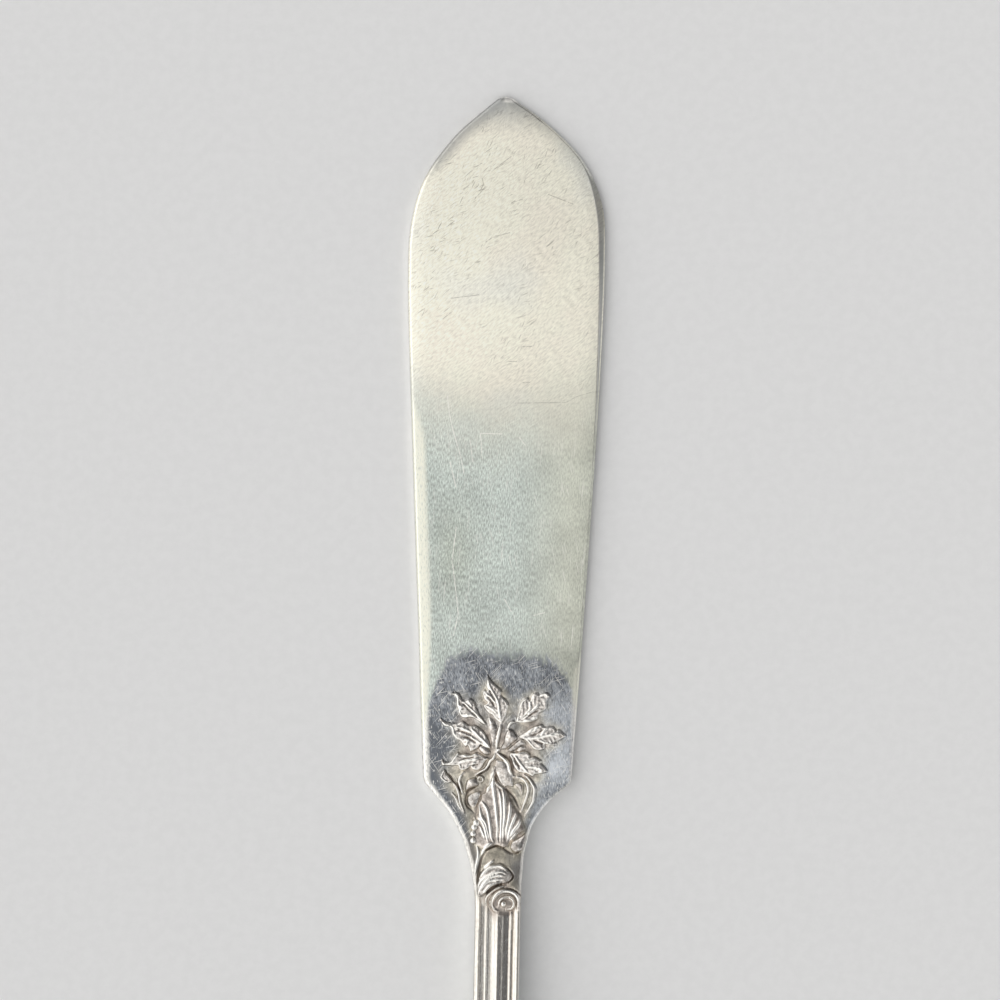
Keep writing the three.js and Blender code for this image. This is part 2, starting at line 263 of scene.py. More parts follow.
# the shape that the edge gives the face: a bevel round the blade, reeds along the stem and handle
def edgeShape(x, y, distance):
    onRight = x > middleAt(y)
    near = np.clip(1 - distance / bevelWidth(x, y), 0, 1)
    bevel = rim["drop"] * near ** np.where(onRight, rim["rightPower"], rim["power"])
    roll = rim["roll"] * np.clip(1 - distance / rim["rollWidth"], 0, 1) ** 2
    inward = halfAt(y) - np.abs(x - middleAt(y))
    beads = np.where(onRight, roundedProfile(reeds["right"], inward, reeds["round"]),
                     roundedProfile(reeds["left"], inward, reeds["round"]))
    reeded = smoothStep(reeds["start"] - y, 0, reeds["runIn"])
    reeded = reeded * smoothStep(y - knife["buttY"], 0, reeds["runOut"])
    reeded = reeded * (1 - voluteRound(x, y) * smoothStep(y, *volute["reedsEnd"]))
    return mixed(-bevel - roll, beads, reeded)


# leaves of the spray: the edge of each, its midrib first among the ribs, then its veins
spray = {
    "leafHeight": 0.22,
    "leafCrown": 0.05,
    "wall": 0.16,
    "skin": 0.12,               # how far in from its edge a form takes its own finish
    "soft": 0.2,                # and how far in its crumpling and furrows start
    "midrib": (0.18, 0.09),     # half width and height
    "vein": (0.14, 0.06),
    "ribEnds": (-0.1, 0.1),     # a rib runs out at the leaf's edge
    "furrow": (0.1, 0.07),
    "furrowShade": 0.55,
    "stalkHeight": 0.3,
    "stalkEnds": 0.7,
    "stalkShine": 0.7,
    "crumple": 0.016,
    "crumples": [(1.0, 0.34, 3), (0.6, 0.17, 4)],   # share, size and seed
    "rimAt": 0.13,              # the rim inside a leaf's edge, worn bright with a painted highlight
    "rimShine": 0.5,
    "rimHeight": 0.05,
    "heart": (-0.1, 16.4),      # where the stalks meet
    "comb": (0.58, 0.03),       # fine veins either side of the midrib: pitch and height
    "combLean": 0.8,
    "combShine": 0.3,
    "combFrom": (0.12, 0.3),    # they start beside the midrib and stop inside the edge
    "combRim": (0.05, 0.2),
}

leaves = {
    "topLeaf": {
        "edge": [(0.36, 19.42), (-0.21, 19.88), (-0.7, 20.39), (-1.01, 20.48), (-1.53, 21.09),
                 (-1.62, 21.43), (-1.18, 21.69), (-1.49, 22), (-1.72, 22.56), (-1.65, 23.04),
                 (-1.22, 23.06), (-1.37, 23.53), (-1.33, 23.99), (-1.23, 24.78), (-0.84, 24.16),
                 (-0.14, 23.53), (0.18, 23.23), (0.4, 22.94), (0.33, 22.51), (0.85, 22.04), (1.16, 21.57),
                 (1.14, 21.15), (0.95, 20.3), (0.59, 19.67)],
        "ribs": [
            [(-1.23, 24.64), (-1.01, 23.6), (-0.48, 22.58), (-0.01, 21.8), (0.17, 20.79), (0.36, 19.56)],
            [(-1.52, 22.85), (-1.04, 22.42), (-0.18, 21.57)],
            [(-1.43, 21.36), (-0.8, 21.09), (0.01, 20.44)],
            [(-0.47, 20.21), (0.25, 19.37)],
        ],
        "furrows": [
            [(-1.3, 22.5), (-0.75, 21.95), (-0.3, 21.2)],
            [(-1.05, 23.2), (-0.62, 22.6), (-0.2, 21.85)],
        ],
    },
    "upperRightLeaf": {
        "edge": [(2.04, 19.65), (2.32, 20.8), (2.37, 21.4), (2.72, 22.02), (3.26, 22.33), (3.56, 21.97),
                 (3.62, 22.33), (3.85, 22.76), (4.27, 22.86), (4.57, 22.68), (4.81, 22.8), (5.35, 22.91),
                 (5.72, 22.6), (5.6, 22.25), (5.42, 22.12), (5.43, 21.64), (5.39, 21.15), (5.09, 20.85),
                 (4.55, 20.61), (4.44, 20.18), (4.32, 19.87), (3.6, 19.56), (2.82, 19.49)],
        "ribs": [
            [(4.78, 21.74), (4.29, 21.32), (3.58, 20.65), (3.05, 20.23), (2.2, 19.7)],
            [(2.14, 19.92), (2.32, 20.81), (2.4, 21.48), (2.83, 21.98), (3.21, 22.16)],
            [(3.59, 22.27), (3.57, 21.61), (3.64, 21.25), (3.28, 20.7), (2.75, 20.21)],
            [(4.71, 22.41), (4.82, 22.63), (5.31, 22.75), (5.49, 22.37)],
            [(4.36, 20.29), (3.59, 19.89), (2.7, 19.71)],
        ],
        "furrows": [
            [(3.45, 20.62), (2.78, 20.08), (2.3, 19.82)],
            [(4.6, 20.95), (3.9, 20.6), (3.2, 20.08)],
        ],
    },
    "rightLeaf": {
        "edge": [(2.31, 17.97), (3.08, 18.53), (3.79, 19.03), (4.45, 19.27), (4.93, 19.35), (5.18, 19.11),
                 (5.78, 19.17), (6.2, 19.13), (6.5, 18.76), (6.75, 18.84), (7.17, 18.54), (7.6, 18.13),
                 (7.24, 17.82), (6.77, 17.57), (6.4, 17.51), (6.6, 17.27), (6.36, 17.02), (5.88, 17.08),
                 (5.33, 17.19), (5.28, 16.77), (4.98, 16.53), (4.32, 16.52), (3.9, 16.74), (3.52, 17.21),
                 (3.07, 17.61)],
        "ribs": [
            [(2.51, 17.87), (3.62, 17.84), (4.62, 17.97), (5.73, 18.21), (6.61, 18.17)],
            [(2.4, 17.93), (3.03, 18.16), (3.39, 18.41), (4.34, 18.92), (4.93, 19.25)],
            [(4.77, 18.13), (5.25, 18.75), (5.78, 19.1)],
            [(5.73, 18.21), (6.28, 18.38), (6.94, 18.45)],
            [(4.6, 17.71), (5.45, 17.31), (6.19, 17.14)],
            [(2.74, 17.82), (3.41, 17.5), (3.77, 16.92)],
        ],
        "furrows": [
            [(3.5, 18.1), (4.4, 18.35), (5.1, 18.95)],
            [(4.1, 17.6), (4.9, 17.3), (5.3, 17.2)],
        ],
    },
    "lowerRightLeaf": {
        "edge": [(1.49, 16.21), (2.05, 16.22), (2.62, 16.31), (2.96, 16.4), (3.47, 16.21), (3.7, 15.91),
                 (3.65, 15.74), (3.99, 15.8), (4.33, 15.72), (4.67, 15.52), (4.96, 15.31), (4.85, 15.11),
                 (5.14, 14.82), (5.57, 14.3), (5.43, 14.04), (4.7, 13.88), (4.19, 13.8), (4.11, 13.59),
                 (3.8, 13.64), (3.52, 13.81), (3.11, 13.94), (2.38, 14.07), (2.03, 14.46), (1.76, 14.96),
                 (1.61, 15.47), (1.38, 15.87)],
        "ribs": [
            [(1.72, 16.04), (2.06, 15.71), (2.3, 15.37), (2.64, 14.92), (3.11, 14.36), (3.57, 13.86)],
            [(0.3, 16.41), (0.92, 16.14), (1.61, 15.76), (1.74, 15.2), (1.91, 14.63), (2.38, 14.19)],
            [(1.6, 16.09), (2.29, 16.05), (2.73, 16.29)],
            [(3.0, 15.1), (3.75, 15.35), (4.4, 15.5)],
            [(3.3, 14.6), (4.1, 14.6), (5.1, 14.4)],
        ],
        "furrows": [
            [(1.83, 15.85), (2.06, 15.3), (2.29, 14.96), (2.63, 14.45)],
        ],
    },
    "upperLeftLeaf": {
        "edge": [(-5.38, 22.53), (-5.13, 22.76), (-4.57, 22.71), (-4.31, 22.61), (-4.1, 22.18),
                 (-3.92, 21.9), (-3.64, 21.85), (-3.36, 22.02), (-3.02, 22.06), (-2.73, 21.87),
                 (-2.5, 21.53), (-2.41, 21.07), (-2.27, 20.91), (-2.08, 20.4), (-1.74, 19.95),
                 (-1.33, 19.45), (-1.22, 19.23), (-1.62, 19.28), (-2.13, 19.62), (-2.85, 20),
                 (-3.52, 19.93), (-4.07, 20.09), (-4.29, 20.42), (-4.39, 20.76), (-4.19, 21.04),
                 (-4.54, 21.32), (-4.48, 21.6), (-4.61, 22.06), (-4.84, 22.4)],
        "ribs": [
            [(-3.86, 21.74), (-3, 20.9), (-2.43, 20.4), (-1.85, 19.89), (-1.33, 19.34)],
            [(-5.3, 22.6), (-4.85, 22.5), (-4.5, 21.95), (-4.4, 21.38), (-4.03, 21.17), (-4.3, 20.71),
             (-4.12, 20.25)],
            [(-3.35, 21.91), (-3.07, 21.52), (-2.84, 21.24)],
            [(-3.67, 20.23), (-2.99, 20.27), (-2.42, 20)],
        ],
        "furrows": [
            [(-3.95, 21.65), (-3.35, 21.05), (-2.72, 20.5), (-2.15, 19.85)],
        ],
    },
    "leftLeaf": {
        "edge": [(-6.38, 19.76), (-6.09, 19.65), (-5.64, 19.44), (-5.13, 19.33), (-4.44, 19.39),
                 (-4, 19.58), (-3.66, 19.47), (-3.31, 19.19), (-2.97, 19.14), (-2.52, 19.15),
                 (-2.06, 18.87), (-1.54, 18.49), (-1.2, 17.97), (-0.9, 17.31), (-0.74, 16.6),
                 (-1.13, 16.64), (-1.58, 16.86), (-1.86, 16.96), (-2.13, 16.65), (-2.47, 16.42),
                 (-2.98, 16.24), (-3.15, 16.63), (-3.27, 16.86), (-3.55, 16.75), (-3.72, 16.91),
                 (-4.07, 17.36), (-4.53, 17.63), (-4.93, 18.02), (-5.05, 18.25), (-5.12, 18.71),
                 (-5.34, 18.93), (-5.91, 18.98), (-6.21, 19.31)],
        "ribs": [
            [(-2.97, 19.14), (-2.8, 18.69), (-2.39, 18.3), (-2.04, 17.92), (-1.47, 17.41), (-0.94, 16.85),
             (-0.66, 16.45)],
            [(-4.78, 18.82), (-4.32, 18.95), (-3.53, 18.62), (-2.67, 18.29)],
            [(-6.3, 19.68), (-5.85, 19.25), (-5.2, 18.9), (-4.93, 18.2), (-4.53, 17.69), (-4.07, 17.31)],
            [(-3.79, 17.42), (-3.28, 17.54), (-3.5, 16.8)],
            [(-3.1, 17.95), (-2.4, 17.5), (-1.7, 17.15)],
        ],
        "furrows": [
            [(-4.7, 18.55), (-4.1, 18.5), (-3.3, 18.25), (-2.5, 17.9)],
            [(-3.9, 17.9), (-3.2, 17.75), (-2.3, 17.2)],
        ],
    },
    "lowerLeftLeaf": {
        "edge": [(-6.16, 15.31), (-5.73, 14.92), (-5.31, 14.93), (-4.86, 15.53), (-4.42, 16.11),
                 (-4.05, 15.94), (-3.48, 16), (-2.92, 15.9), (-2.35, 16.14), (-1.73, 15.92),
                 (-1.32, 15.65), (-0.87, 15.48), (-1.26, 15.25), (-1.76, 14.39), (-2.32, 14.16),
                 (-2.83, 14.32), (-2.95, 14.55), (-3.34, 14.25), (-3.78, 14.13), (-4.18, 14.24),
                 (-4.3, 14.63), (-4.65, 14.63), (-5.16, 14.62), (-5.56, 14.72), (-5.89, 14.61),
                 (-6.18, 14.71)],
        "ribs": [
            [(-4.36, 14.8), (-4.03, 15.04), (-3.36, 15.27), (-2.45, 15.4), (-1.89, 15.59)],
            [(-6.1, 15.2), (-5.85, 14.8), (-5.21, 14.85), (-4.72, 15.42), (-4.34, 15.92)],
            [(-4.19, 14.35), (-4.08, 14.75)],
            [(-2.78, 14.55), (-2.66, 14.88), (-2.33, 15)],
            [(-3.9, 15.75), (-3.1, 15.68), (-2.3, 15.9)],
        ],
        "furrows": [
            [(-4.2, 15.3), (-3.4, 15.5), (-2.3, 15.65)],
            [(-3.05, 14.75), (-2.5, 14.75), (-1.9, 14.9)],
        ],
    },
    "smallLeaf": {
        "edge": [(-5.94, 14.15), (-6.27, 13.52), (-6.29, 13.23), (-5.92, 12.91), (-5.4, 12.68),
                 (-4.96, 12.92), (-5.13, 13.32), (-5.54, 13.76), (-5.71, 14.1)],
        "ribs": [
            [(-5.91, 14.1), (-6.21, 13.47), (-5.86, 12.96), (-5.4, 12.74)],
        ],
    },
}

# buds, petals and curled ends: plump forms with no ribs; height and how far the crown swells
buds = {
    "rightBud": ([(1.16, 18.74), (1.7, 18.63), (2.19, 17.79), (1.6, 17.24), (1.01, 16.63), (0.35, 16.61),
                  (0.7, 17.29), (0.8, 18.01)], 0.24, 0.2),
    "rightPetal": ([(1.08, 16.43), (1.82, 17.12), (2.48, 17.67), (2.83, 17.62), (3.15, 17.14),
                    (2.72, 17.02), (2.28, 16.76), (1.83, 16.38), (1.37, 16.32)], 0.2, 0.12),
    "rightLeaflet": ([(1.99, 16.39), (2.55, 16.91), (2.95, 16.92), (3.18, 16.69),
                      (2.62, 16.34)], 0.2, 0.1),
    "leftPetal": ([(-2.07, 16.72), (-1.8, 16.94), (-1.23, 16.79), (-0.83, 16.39), (-0.76, 16.05),
                   (-1.22, 15.88), (-1.79, 16.21), (-2.07, 16.54)], 0.24, 0.18),
    "innerPetal": ([(-1, 19.98), (-0.4, 19.54), (-0.05, 18.66), (-0.2, 17.44), (-0.46, 16.66),
                    (-0.72, 17.54), (-0.91, 18.65)], 0.14, 0.08),
    "leftBud": ([(-3.74, 11.47), (-3.47, 11.98), (-3.42, 12.5), (-3.32, 12.95), (-3.03, 13.24),
                 (-2.41, 13.3), (-2.13, 13.07), (-2, 12.52), (-2.56, 12.29), (-3.07, 12.1),
                 (-3.41, 11.76)], 0.24, 0.2),
    "rightDrop": ([(1.95, 12.7), (2.34, 12.89), (2.79, 12.83), (2.97, 12.5), (2.93, 11.87), (2.79, 11.49),
                   (2.41, 12.2)], 0.2, 0.14),
    "leftLobe": ([(-3.23, 10.86), (-3.06, 11.37), (-2.55, 11.72), (-1.99, 11.84), (-1.71, 11.64),
                  (-1.92, 10.88), (-2.24, 10.19), (-2.57, 10.01), (-3.02, 10.32)], 0.2, 0.1),
    "rightLobe": ([(-0.2, 15.27), (0.31, 15.39), (0.94, 15.13), (1.24, 14.51), (1.7, 13.66),
                   (1.89, 12.48), (1.27, 12.47), (0.65, 12.46), (0.15, 13.34),
                   (-0.14, 14.11)], 0.18, 0.08),
    "curledEnd": ([(1.62, 5.83), (1.82, 6.34), (2.4, 6.69), (2.99, 7.1), (3.29, 7.35), (3.39, 6.91),
                   (3.27, 6.17), (3.12, 5.62), (2.68, 5.25), (2.08, 5.2), (1.73, 5.48)], 0.26, 0.26),
}

# stalks and tendrils between the leaves: points, half width
stalks = [
    ([(0.36, 19.42), (0.12, 18.23), (-0.08, 17.04), (-0.09, 16.44)], 0.23),
    ([(1.98, 19.6), (1.48, 19.51), (1.2, 19.09), (1.15, 18.74)], 0.2),
    ([(0.35, 16.61), (0.1, 16.45), (-0.1, 16.35)], 0.2),
    ([(-3.67, 13.91), (-4.01, 13.51), (-4.16, 13.05), (-4.04, 12.49), (-3.87, 11.87),
      (-3.74, 11.47)], 0.2),
    ([(-0.1, 16.3), (-0.46, 15.5), (-0.75, 15.26), (-1.02, 14.69), (-1.3, 14.29), (-1.8, 14),
      (-2.31, 13.7)], 0.2),
    ([(-0.21, 16.29), (0.31, 15.85), (0.82, 15.46), (1.23, 14.95), (1.41, 14.28), (1.7, 13.66),
      (1.93, 13.56)], 0.22),
    ([(2.3, 13.5), (2.67, 13.39), (3.07, 13.18), (3.36, 12.73), (3.49, 12.16), (3.38, 11.48),
      (3.17, 10.86), (2.96, 10.23), (2.79, 9.77)], 0.2),
    ([(3.01, 13.8), (3.52, 13.35), (3.92, 12.79), (4.19, 12.23), (4.12, 11.38), (4.08, 10.87),
      (3.69, 10.13), (3.3, 9.44)], 0.2),
    ([(-4.72, 12.64), (-4.44, 12.19), (-4.19, 11.52), (-4.07, 10.79), (-3.83, 10.11),
      (-3.59, 9.55)], 0.18),
    ([(-4.88, 11.5), (-4.47, 10.95), (-4.17, 10.22), (-3.77, 9.66)], 0.17),
]

# curled rims of the leaves on the left, worn bright with a painted highlight
curledRims = [
    ([(-5.17, 22.57), (-4.68, 22.6), (-4.45, 22.14), (-4.4, 21.36), (-4.1, 20.75), (-4.05, 20.3)], 0.22),
    ([(-6.35, 19.74), (-5.95, 19.33), (-5.4, 19.18), (-5.0, 18.9), (-4.77, 18.25), (-4.42, 17.65)], 0.23),
    ([(-6.1, 15.22), (-5.82, 14.86), (-5.1, 14.91), (-4.66, 15.47), (-4.35, 15.95)], 0.21),
]

acanthus = {
    "edge": [(-0.38, 14.55), (-0.57, 13.32), (-0.78, 12.6), (-1.24, 12.26), (-1.21, 11.76),
             (-1.65, 11.53), (-1.72, 10.97), (-2.02, 10.41), (-1.95, 9.64), (-2.16, 9.08), (-2.04, 8.41),
             (-2.64, 8.07), (-2.64, 7.62), (-2.8, 7.29), (-2.62, 6.85), (-2.73, 6.4), (-2.39, 6.08),
             (-1.72, 5.75), (-1.04, 5.43), (-0.38, 5.72), (0.17, 5.9), (0.84, 5.69), (1.39, 5.92),
             (1.66, 6.37), (2.15, 6.93), (2.81, 7.39), (3.19, 7.73), (3.01, 8.28), (2.84, 8.94),
             (2.55, 9.49), (2.32, 9.71), (1.98, 10.26), (1.69, 10.92), (1.46, 11.25), (1.17, 12.02),
             (1.04, 12.41), (0.67, 12.35), (0.25, 12.67), (-0.13, 13.22), (-0.03, 14), (-0.07, 14.66)],
    "height": 0.2,
    "crown": 0.12,
    "swellOver": 0.45,
    "ridgeHalf": 0.23,
    "ridgeEnds": 0.6,
    "ridgeHeight": 0.17,
    "valley": 0.7,              # how dark it is between the ridges
    "valleyEnd": 0.5,
    "ridges": [
        [(-0.12, 14.66), (-0.46, 14.41), (-0.43, 13), (-0.3, 11.87), (-0.09, 10.51), (0.06, 9.23),
         (0.2, 8.04), (0.16, 7.05), (0.25, 6.3)],
        [(0.2, 12.16), (0.44, 11.32), (0.57, 10.19), (0.62, 9.54), (0.61, 8.54), (0.6, 7.4),
         (0.55, 6.45)],
        [(0.66, 12.17), (0.87, 11.24), (0.95, 10.03), (0.97, 9.04), (0.85, 7.8), (0.85, 6.5)],
        [(1.54, 10.64), (1.55, 9.94), (1.43, 8.85), (1.19, 7.56), (1.21, 6.82)],
        [(2.3, 9.51), (1.92, 8.66), (1.63, 7.81), (1.31, 6.47)],
        [(2.72, 8.83), (2.47, 8.23), (2.04, 7.67), (1.55, 6.82)],
        [(2.39, 7.28), (1.95, 6.78), (1.66, 6.48)],
        [(-1.74, 10.83), (-1.08, 9.99), (-0.81, 9.01), (-0.6, 7.78), (-0.48, 6.79), (-0.2, 6.3)],
        [(-1.97, 10.38), (-1.82, 9.74), (-1.61, 9), (-1.15, 8.32), (-0.9, 7.4), (-0.65, 6.6)],
        [(-2.05, 8.99), (-1.54, 8.5), (-1.18, 7.76), (-1.0, 6.9), (-0.85, 6.4)],
        [(-1.79, 8.01), (-1.42, 7.27), (-1.22, 6.67)],
        [(-0.4, 14.41), (-0.51, 13.79), (-0.61, 13), (-0.82, 12.43), (-1.15, 11.68)],
        [(-0.21, 13.01), (0.25, 12.67), (0.66, 12.35), (1.04, 12.41)],
        [(-2.39, 8.88), (-2.04, 8.4), (-2.18, 8)],
        [(-1.6, 4.75), (-1.2, 5.5), (-0.75, 6.0), (-0.3, 6.2)],
    ],
    "pearls": [(-2.21, 8.41), (-2.42, 7.91), (-2.52, 7.18), (-2.5, 6.41)],
    "pearl": 0.37,
    "pearlHeight": 0.34,
    "pearlShine": 0.9,
}

# the curled lock under the acanthus and the volute at the head of the stem
lock = {
    "edge": [(-1.96, 0.86), (-1.87, 1.98), (-1.66, 2.76), (-1.23, 3.32), (-0.57, 3.78), (0.13, 3.84),
             (0.76, 3.8), (1.42, 3.39), (1.82, 2.98), (1.98, 2.49), (1.68, 1.98), (1.02, 1.69),
             (0.13, 1.57), (-0.53, 1.17), (-1.07, 0.55), (-1.73, 0.2)],
    "height": 0.26,
    "crown": 0.12,
    "swellOver": 0.6,
    "ridgeHalf": 0.19,
    "ridgeEnds": 0.6,
    "ridgeHeight": 0.15,
    "valley": 0.15,
    "valleyEnd": 0.5,
    "ridges": [
        [(-1.35, 3.18), (-0.97, 3.64), (-0.38, 4.09), (-0.14, 4.29)],
        [(-1.69, 2.33), (-1.16, 2.99), (-0.47, 3.5), (0.13, 3.65), (0.62, 3.66), (1.12, 3.37),
         (1.47, 3.09)],
        [(-1.95, 1), (-1.68, 1.75), (-1.19, 2.3), (-0.55, 2.7), (0.14, 2.97), (0.8, 3.0), (1.3, 2.75)],
        [(-1.8, 0.55), (-1.57, 1.19), (-1.14, 1.85), (-0.55, 2.35), (0.05, 2.57), (0.65, 2.67),
         (1.15, 2.5)],
        [(-1.61, 0.85), (-1.22, 1.55), (-0.64, 1.95), (0.06, 2.12), (0.35, 2.17), (0.95, 2.25)],
        [(-1.36, 0.51), (-0.92, 1.06), (-0.43, 1.51), (0.07, 1.68), (0.7, 1.85)],
        [(-2.14, 6.01), (-1.93, 5.31), (-1.92, 4.53), (-2.14, 3.41), (-2.3, 2.52)],
    ],
}

volute = {
    "eye": (0.99, -0.54),
    "pearl": 0.34,
    "pearlHeight": 0.374,
    "reach": 1.5,
    "soft": 0.3,                # how softly its round ends
    "fall": 0.1,                # its floor falls away to the right
    "reedsEnd": (-1.5, -0.7),   # heights between which the reeds end under it
    "foot": -4,                 # nothing is struck below this, down to the butt
    "valley": 1.0,
    "valleyEnd": 0.3,
    "ringHeight": 0.34,
    "ringEnds": 0.8,
    "ringShine": 0.6,
    "rings": [
        ([(-0.95, -0.6), (-0.95, 0.07), (-0.52, 0.62), (0.08, 1.08), (0.66, 1.33), (1.16, 1.44)], 0.16),
        ([(0.3, -1.4), (-0.2, -1.05), (-0.4, -0.45), (-0.11, 0.19), (0.47, 0.7), (1.17, 0.9), (1.91, 0.8),
          (2.46, 0.36), (2.68, -0.3), (2.62, -1.05)], 0.3),
        ([(0.45, -0.75), (0.55, -0.2), (1.0, 0.15), (1.6, 0.2), (2.03, -0.1), (2.12, -0.6), (1.85, -1.05),
          (1.35, -1.15)], 0.2),
    ],
}

# lines cut between the forms, darkened with painted shade
cuts = {
    "half": 0.15,
    "depth": 0.13,
    "ends": 0.5,
    "lines": [
        [(-0.69, 15.03), (-0.9, 14.53), (-1.3, 14.12), (-1.97, 13.76), (-2.31, 13.48)],
        [(-1.94, 12.47), (-2.56, 12.22), (-3.07, 11.88), (-3.29, 11.37), (-3.39, 10.8), (-3.22, 10.23),
         (-2.81, 9.9), (-2.46, 9.52)],
        [(-5.6, 14.1), (-5.14, 13.43), (-4.84, 13.04), (-4.44, 12.59), (-4.15, 12.14), (-3.91, 11.41)],
        [(0.35, 16.19), (0.93, 15.8), (1.39, 15.47), (1.62, 14.96), (1.75, 14.4), (2.09, 14.01)],
        [(-0.18, 14.42), (-0.05, 13.12), (0.65, 12.46), (1.92, 11.35), (2.67, 9.94)],
        [(-1.53, 4.64), (-1, 5.34), (-0.4, 5.7), (0.18, 5.85), (0.84, 5.62), (1.19, 5.43), (1.84, 5.09),
         (2.58, 5.21), (3.16, 5.81)],
        [(-0.9, 5.18), (-1.38, 4.72), (-1.62, 4.02), (-1.75, 3.08), (-1.93, 2.09), (-2.02, 1.34)],
        [(0.77, 3.67), (1.43, 3.28), (1.82, 2.9), (1.98, 2.45), (1.64, 1.99), (1, 1.69)],
        [(-1.11, 0.56), (-0.32, 1.07), (0.17, 1.48), (1.1, 1.8)],
        [(1.06, 1.1), (1.91, 1.07), (2.66, 0.62), (3.01, 0.24)],
    ],
}

budRing = {"at": (-1.81, 13.18), "radius": 0.28, "half": 0.15, "height": 0.3, "shine": 0.4}


def fromEye(x, y):
    return np.hypot(x - volute["eye"][0], y - volute["eye"][1])


# 1 on the round of the volute, fading at its border
def voluteRound(x, y):
    return smoothStep(volute["reach"] - fromEye(x, y), 0, volute["soft"])


# a smooth run through given points
def smoothRun(points, closed=False, steps=5):
    p = np.array(points, float)
    before = p[-1] if closed else 2 * p[0] - p[1]
    after = [p[0], p[1]] if closed else [2 * p[-1] - p[-2]]
    q = np.vstack([before, p, *after])
    share = np.linspace(0, 1, steps, endpoint=False)[:, None]
    run = []
    for a, b, c, d in zip(q, q[1:], q[2:], q[3:]):
        run.append(0.5 * (2 * b + (c - a) * share + (2 * a - 5 * b + 4 * c - d) * share ** 2
                          + (3 * b - a - 3 * c + d) * share ** 3))
    run = np.concatenate(run)
    return run if closed else np.vstack([run, p[-1]])


# the places near some points, so that only these are worked out
def patchNear(x, y, run, reach):
    low, high = run.min(0) - reach, run.max(0) + reach
    return (x > low[0]) & (x < high[0]) & (y > low[1]) & (y < high[1])


# nearest distance to a run, and the share of the way along it
def runDistance(px, py, run):
    best = np.full(px.shape, 1e9)
    where = np.zeros(px.shape)
    lengths = np.hypot(*np.diff(run, axis=0).T)
    gone = np.concatenate([[0], np.cumsum(lengths)])
    for (ax, ay), (bx, by), start, length in zip(run, run[1:], gone, lengths):
        dx, dy = bx - ax, by - ay
        share = np.clip(((px - ax) * dx + (py - ay) * dy) / max(length ** 2, 1e-12), 0, 1)
        distance = np.hypot(px - ax - share * dx, py - ay - share * dy)
        closer = distance < best
        best = np.where(closer, distance, best)
        where = np.where(closer, start + share * length, where)
    return best, where / max(gone[-1], 1e-9)


def insideRun(px, py, run):
    inside = np.zeros(px.shape, bool)
    for (ax, ay), (bx, by) in zip(run, np.roll(run, -1, axis=0)):
        crosses = (ay > py) != (by > py)
        at = ax + (py - ay) * (bx - ax) / (by - ay if by != ay else 1e-9)
        inside ^= crosses & (px < at)
    return inside


# a round bead along a run, 1 on its crest, thinner and lower at the ends
def bead(x, y, points, half, endShare=0.55):
    thinOver, sinkOver, endHeight = 0.3, 0.2, 0.25  # shares of its length, and of its height
    run = smoothRun(points)
    level = np.zeros(x.shape)
    patch = patchNear(x, y, run, half)
    distance, along = runDistance(x[patch], y[patch], run)
    ends = np.minimum(along, 1 - along)
    width = half * mixed(endShare, 1, smoothStep(ends, 0, thinOver))
    height = mixed(endHeight, 1, smoothStep(ends, 0, sinkOver))
    level[patch] = np.clip(1 - (distance / width) ** 2, 0, 1) * height
    return level


# a raised form with a steep wall and a crowned top, and how far in from its edge each place lies
def raised(x, y, edge, height, crown, wall, swellOver=0.45):
    run = smoothRun(edge, closed=True, steps=4)
    level = np.zeros(x.shape)
    inward = np.full(x.shape, -1.0)
    patch = patchNear(x, y, run, wall)
    px, py = x[patch], y[patch]
    distance, _ = runDistance(px, py, np.vstack([run, run[:1]]))
    signed = np.where(insideRun(px, py, run), distance, -distance)
    foot, top = -0.3 * wall, 0.8 * wall     # the wall stands mostly inside the edge
    level[patch] = (height * smoothStep(signed, foot, top)
                    + crown * (1 - np.exp(-np.maximum(signed, 0) / swellOver)))
    inward[patch] = signed
    return level, inward


# seeded lumps, smooth between the points of a square grid
def lumps(x, y, size, seed):
    cells = 64
    shift = 100     # keeps the cells counted from a positive corner
    grid = np.random.RandomState(seed).uniform(-1, 1, (cells, cells))
    u, v = x / size + shift, y / size + shift
    i, j = np.floor(u).astype(int), np.floor(v).astype(int)
    fu, fv = smoothStep(u - i, 0, 1), smoothStep(v - j, 0, 1)
    near = mixed(grid[i % cells, j % cells], grid[(i + 1) % cells, j % cells], fu)
    far = mixed(grid[i % cells, (j + 1) % cells], grid[(i + 1) % cells, (j + 1) % cells], fu)
    return mixed(near, far, fv)


# a half ball, 1 at its top
def ballAt(distance, radius):
    return np.sqrt(np.clip(1 - (distance / radius) ** 2, 0, 1))


# the struck forms over one patch of the face, with marks that the finish uses
class Struck:
    def __init__(self, x, y):
        self.x, self.y = x, y
        self.level = np.zeros(x.shape)
        self.body = np.zeros(x.shape)   # flesh of a leaf or bud
        self.vein = np.zeros(x.shape)   # crests worn bright, with a painted highlight
        self.cut = np.zeros(x.shape)    # lines cut in, darkened with painted shade
        self.valley = np.zeros(x.shape)  # hollows between flutes

    def add(self, level, body, vein):
        self.level = np.maximum(self.level, level)
        self.body = np.maximum(self.body, body)
        self.vein = np.maximum(self.vein, vein)

    # a round cord, a little fuller than a bead, worn bright along its crest with a painted highlight
    def addCord(self, ridge, height, shine):
        fullness, skin = 0.8, 0.3
        self.add(height * ridge ** fullness, smoothStep(ridge, 0, skin), shine * ridge)


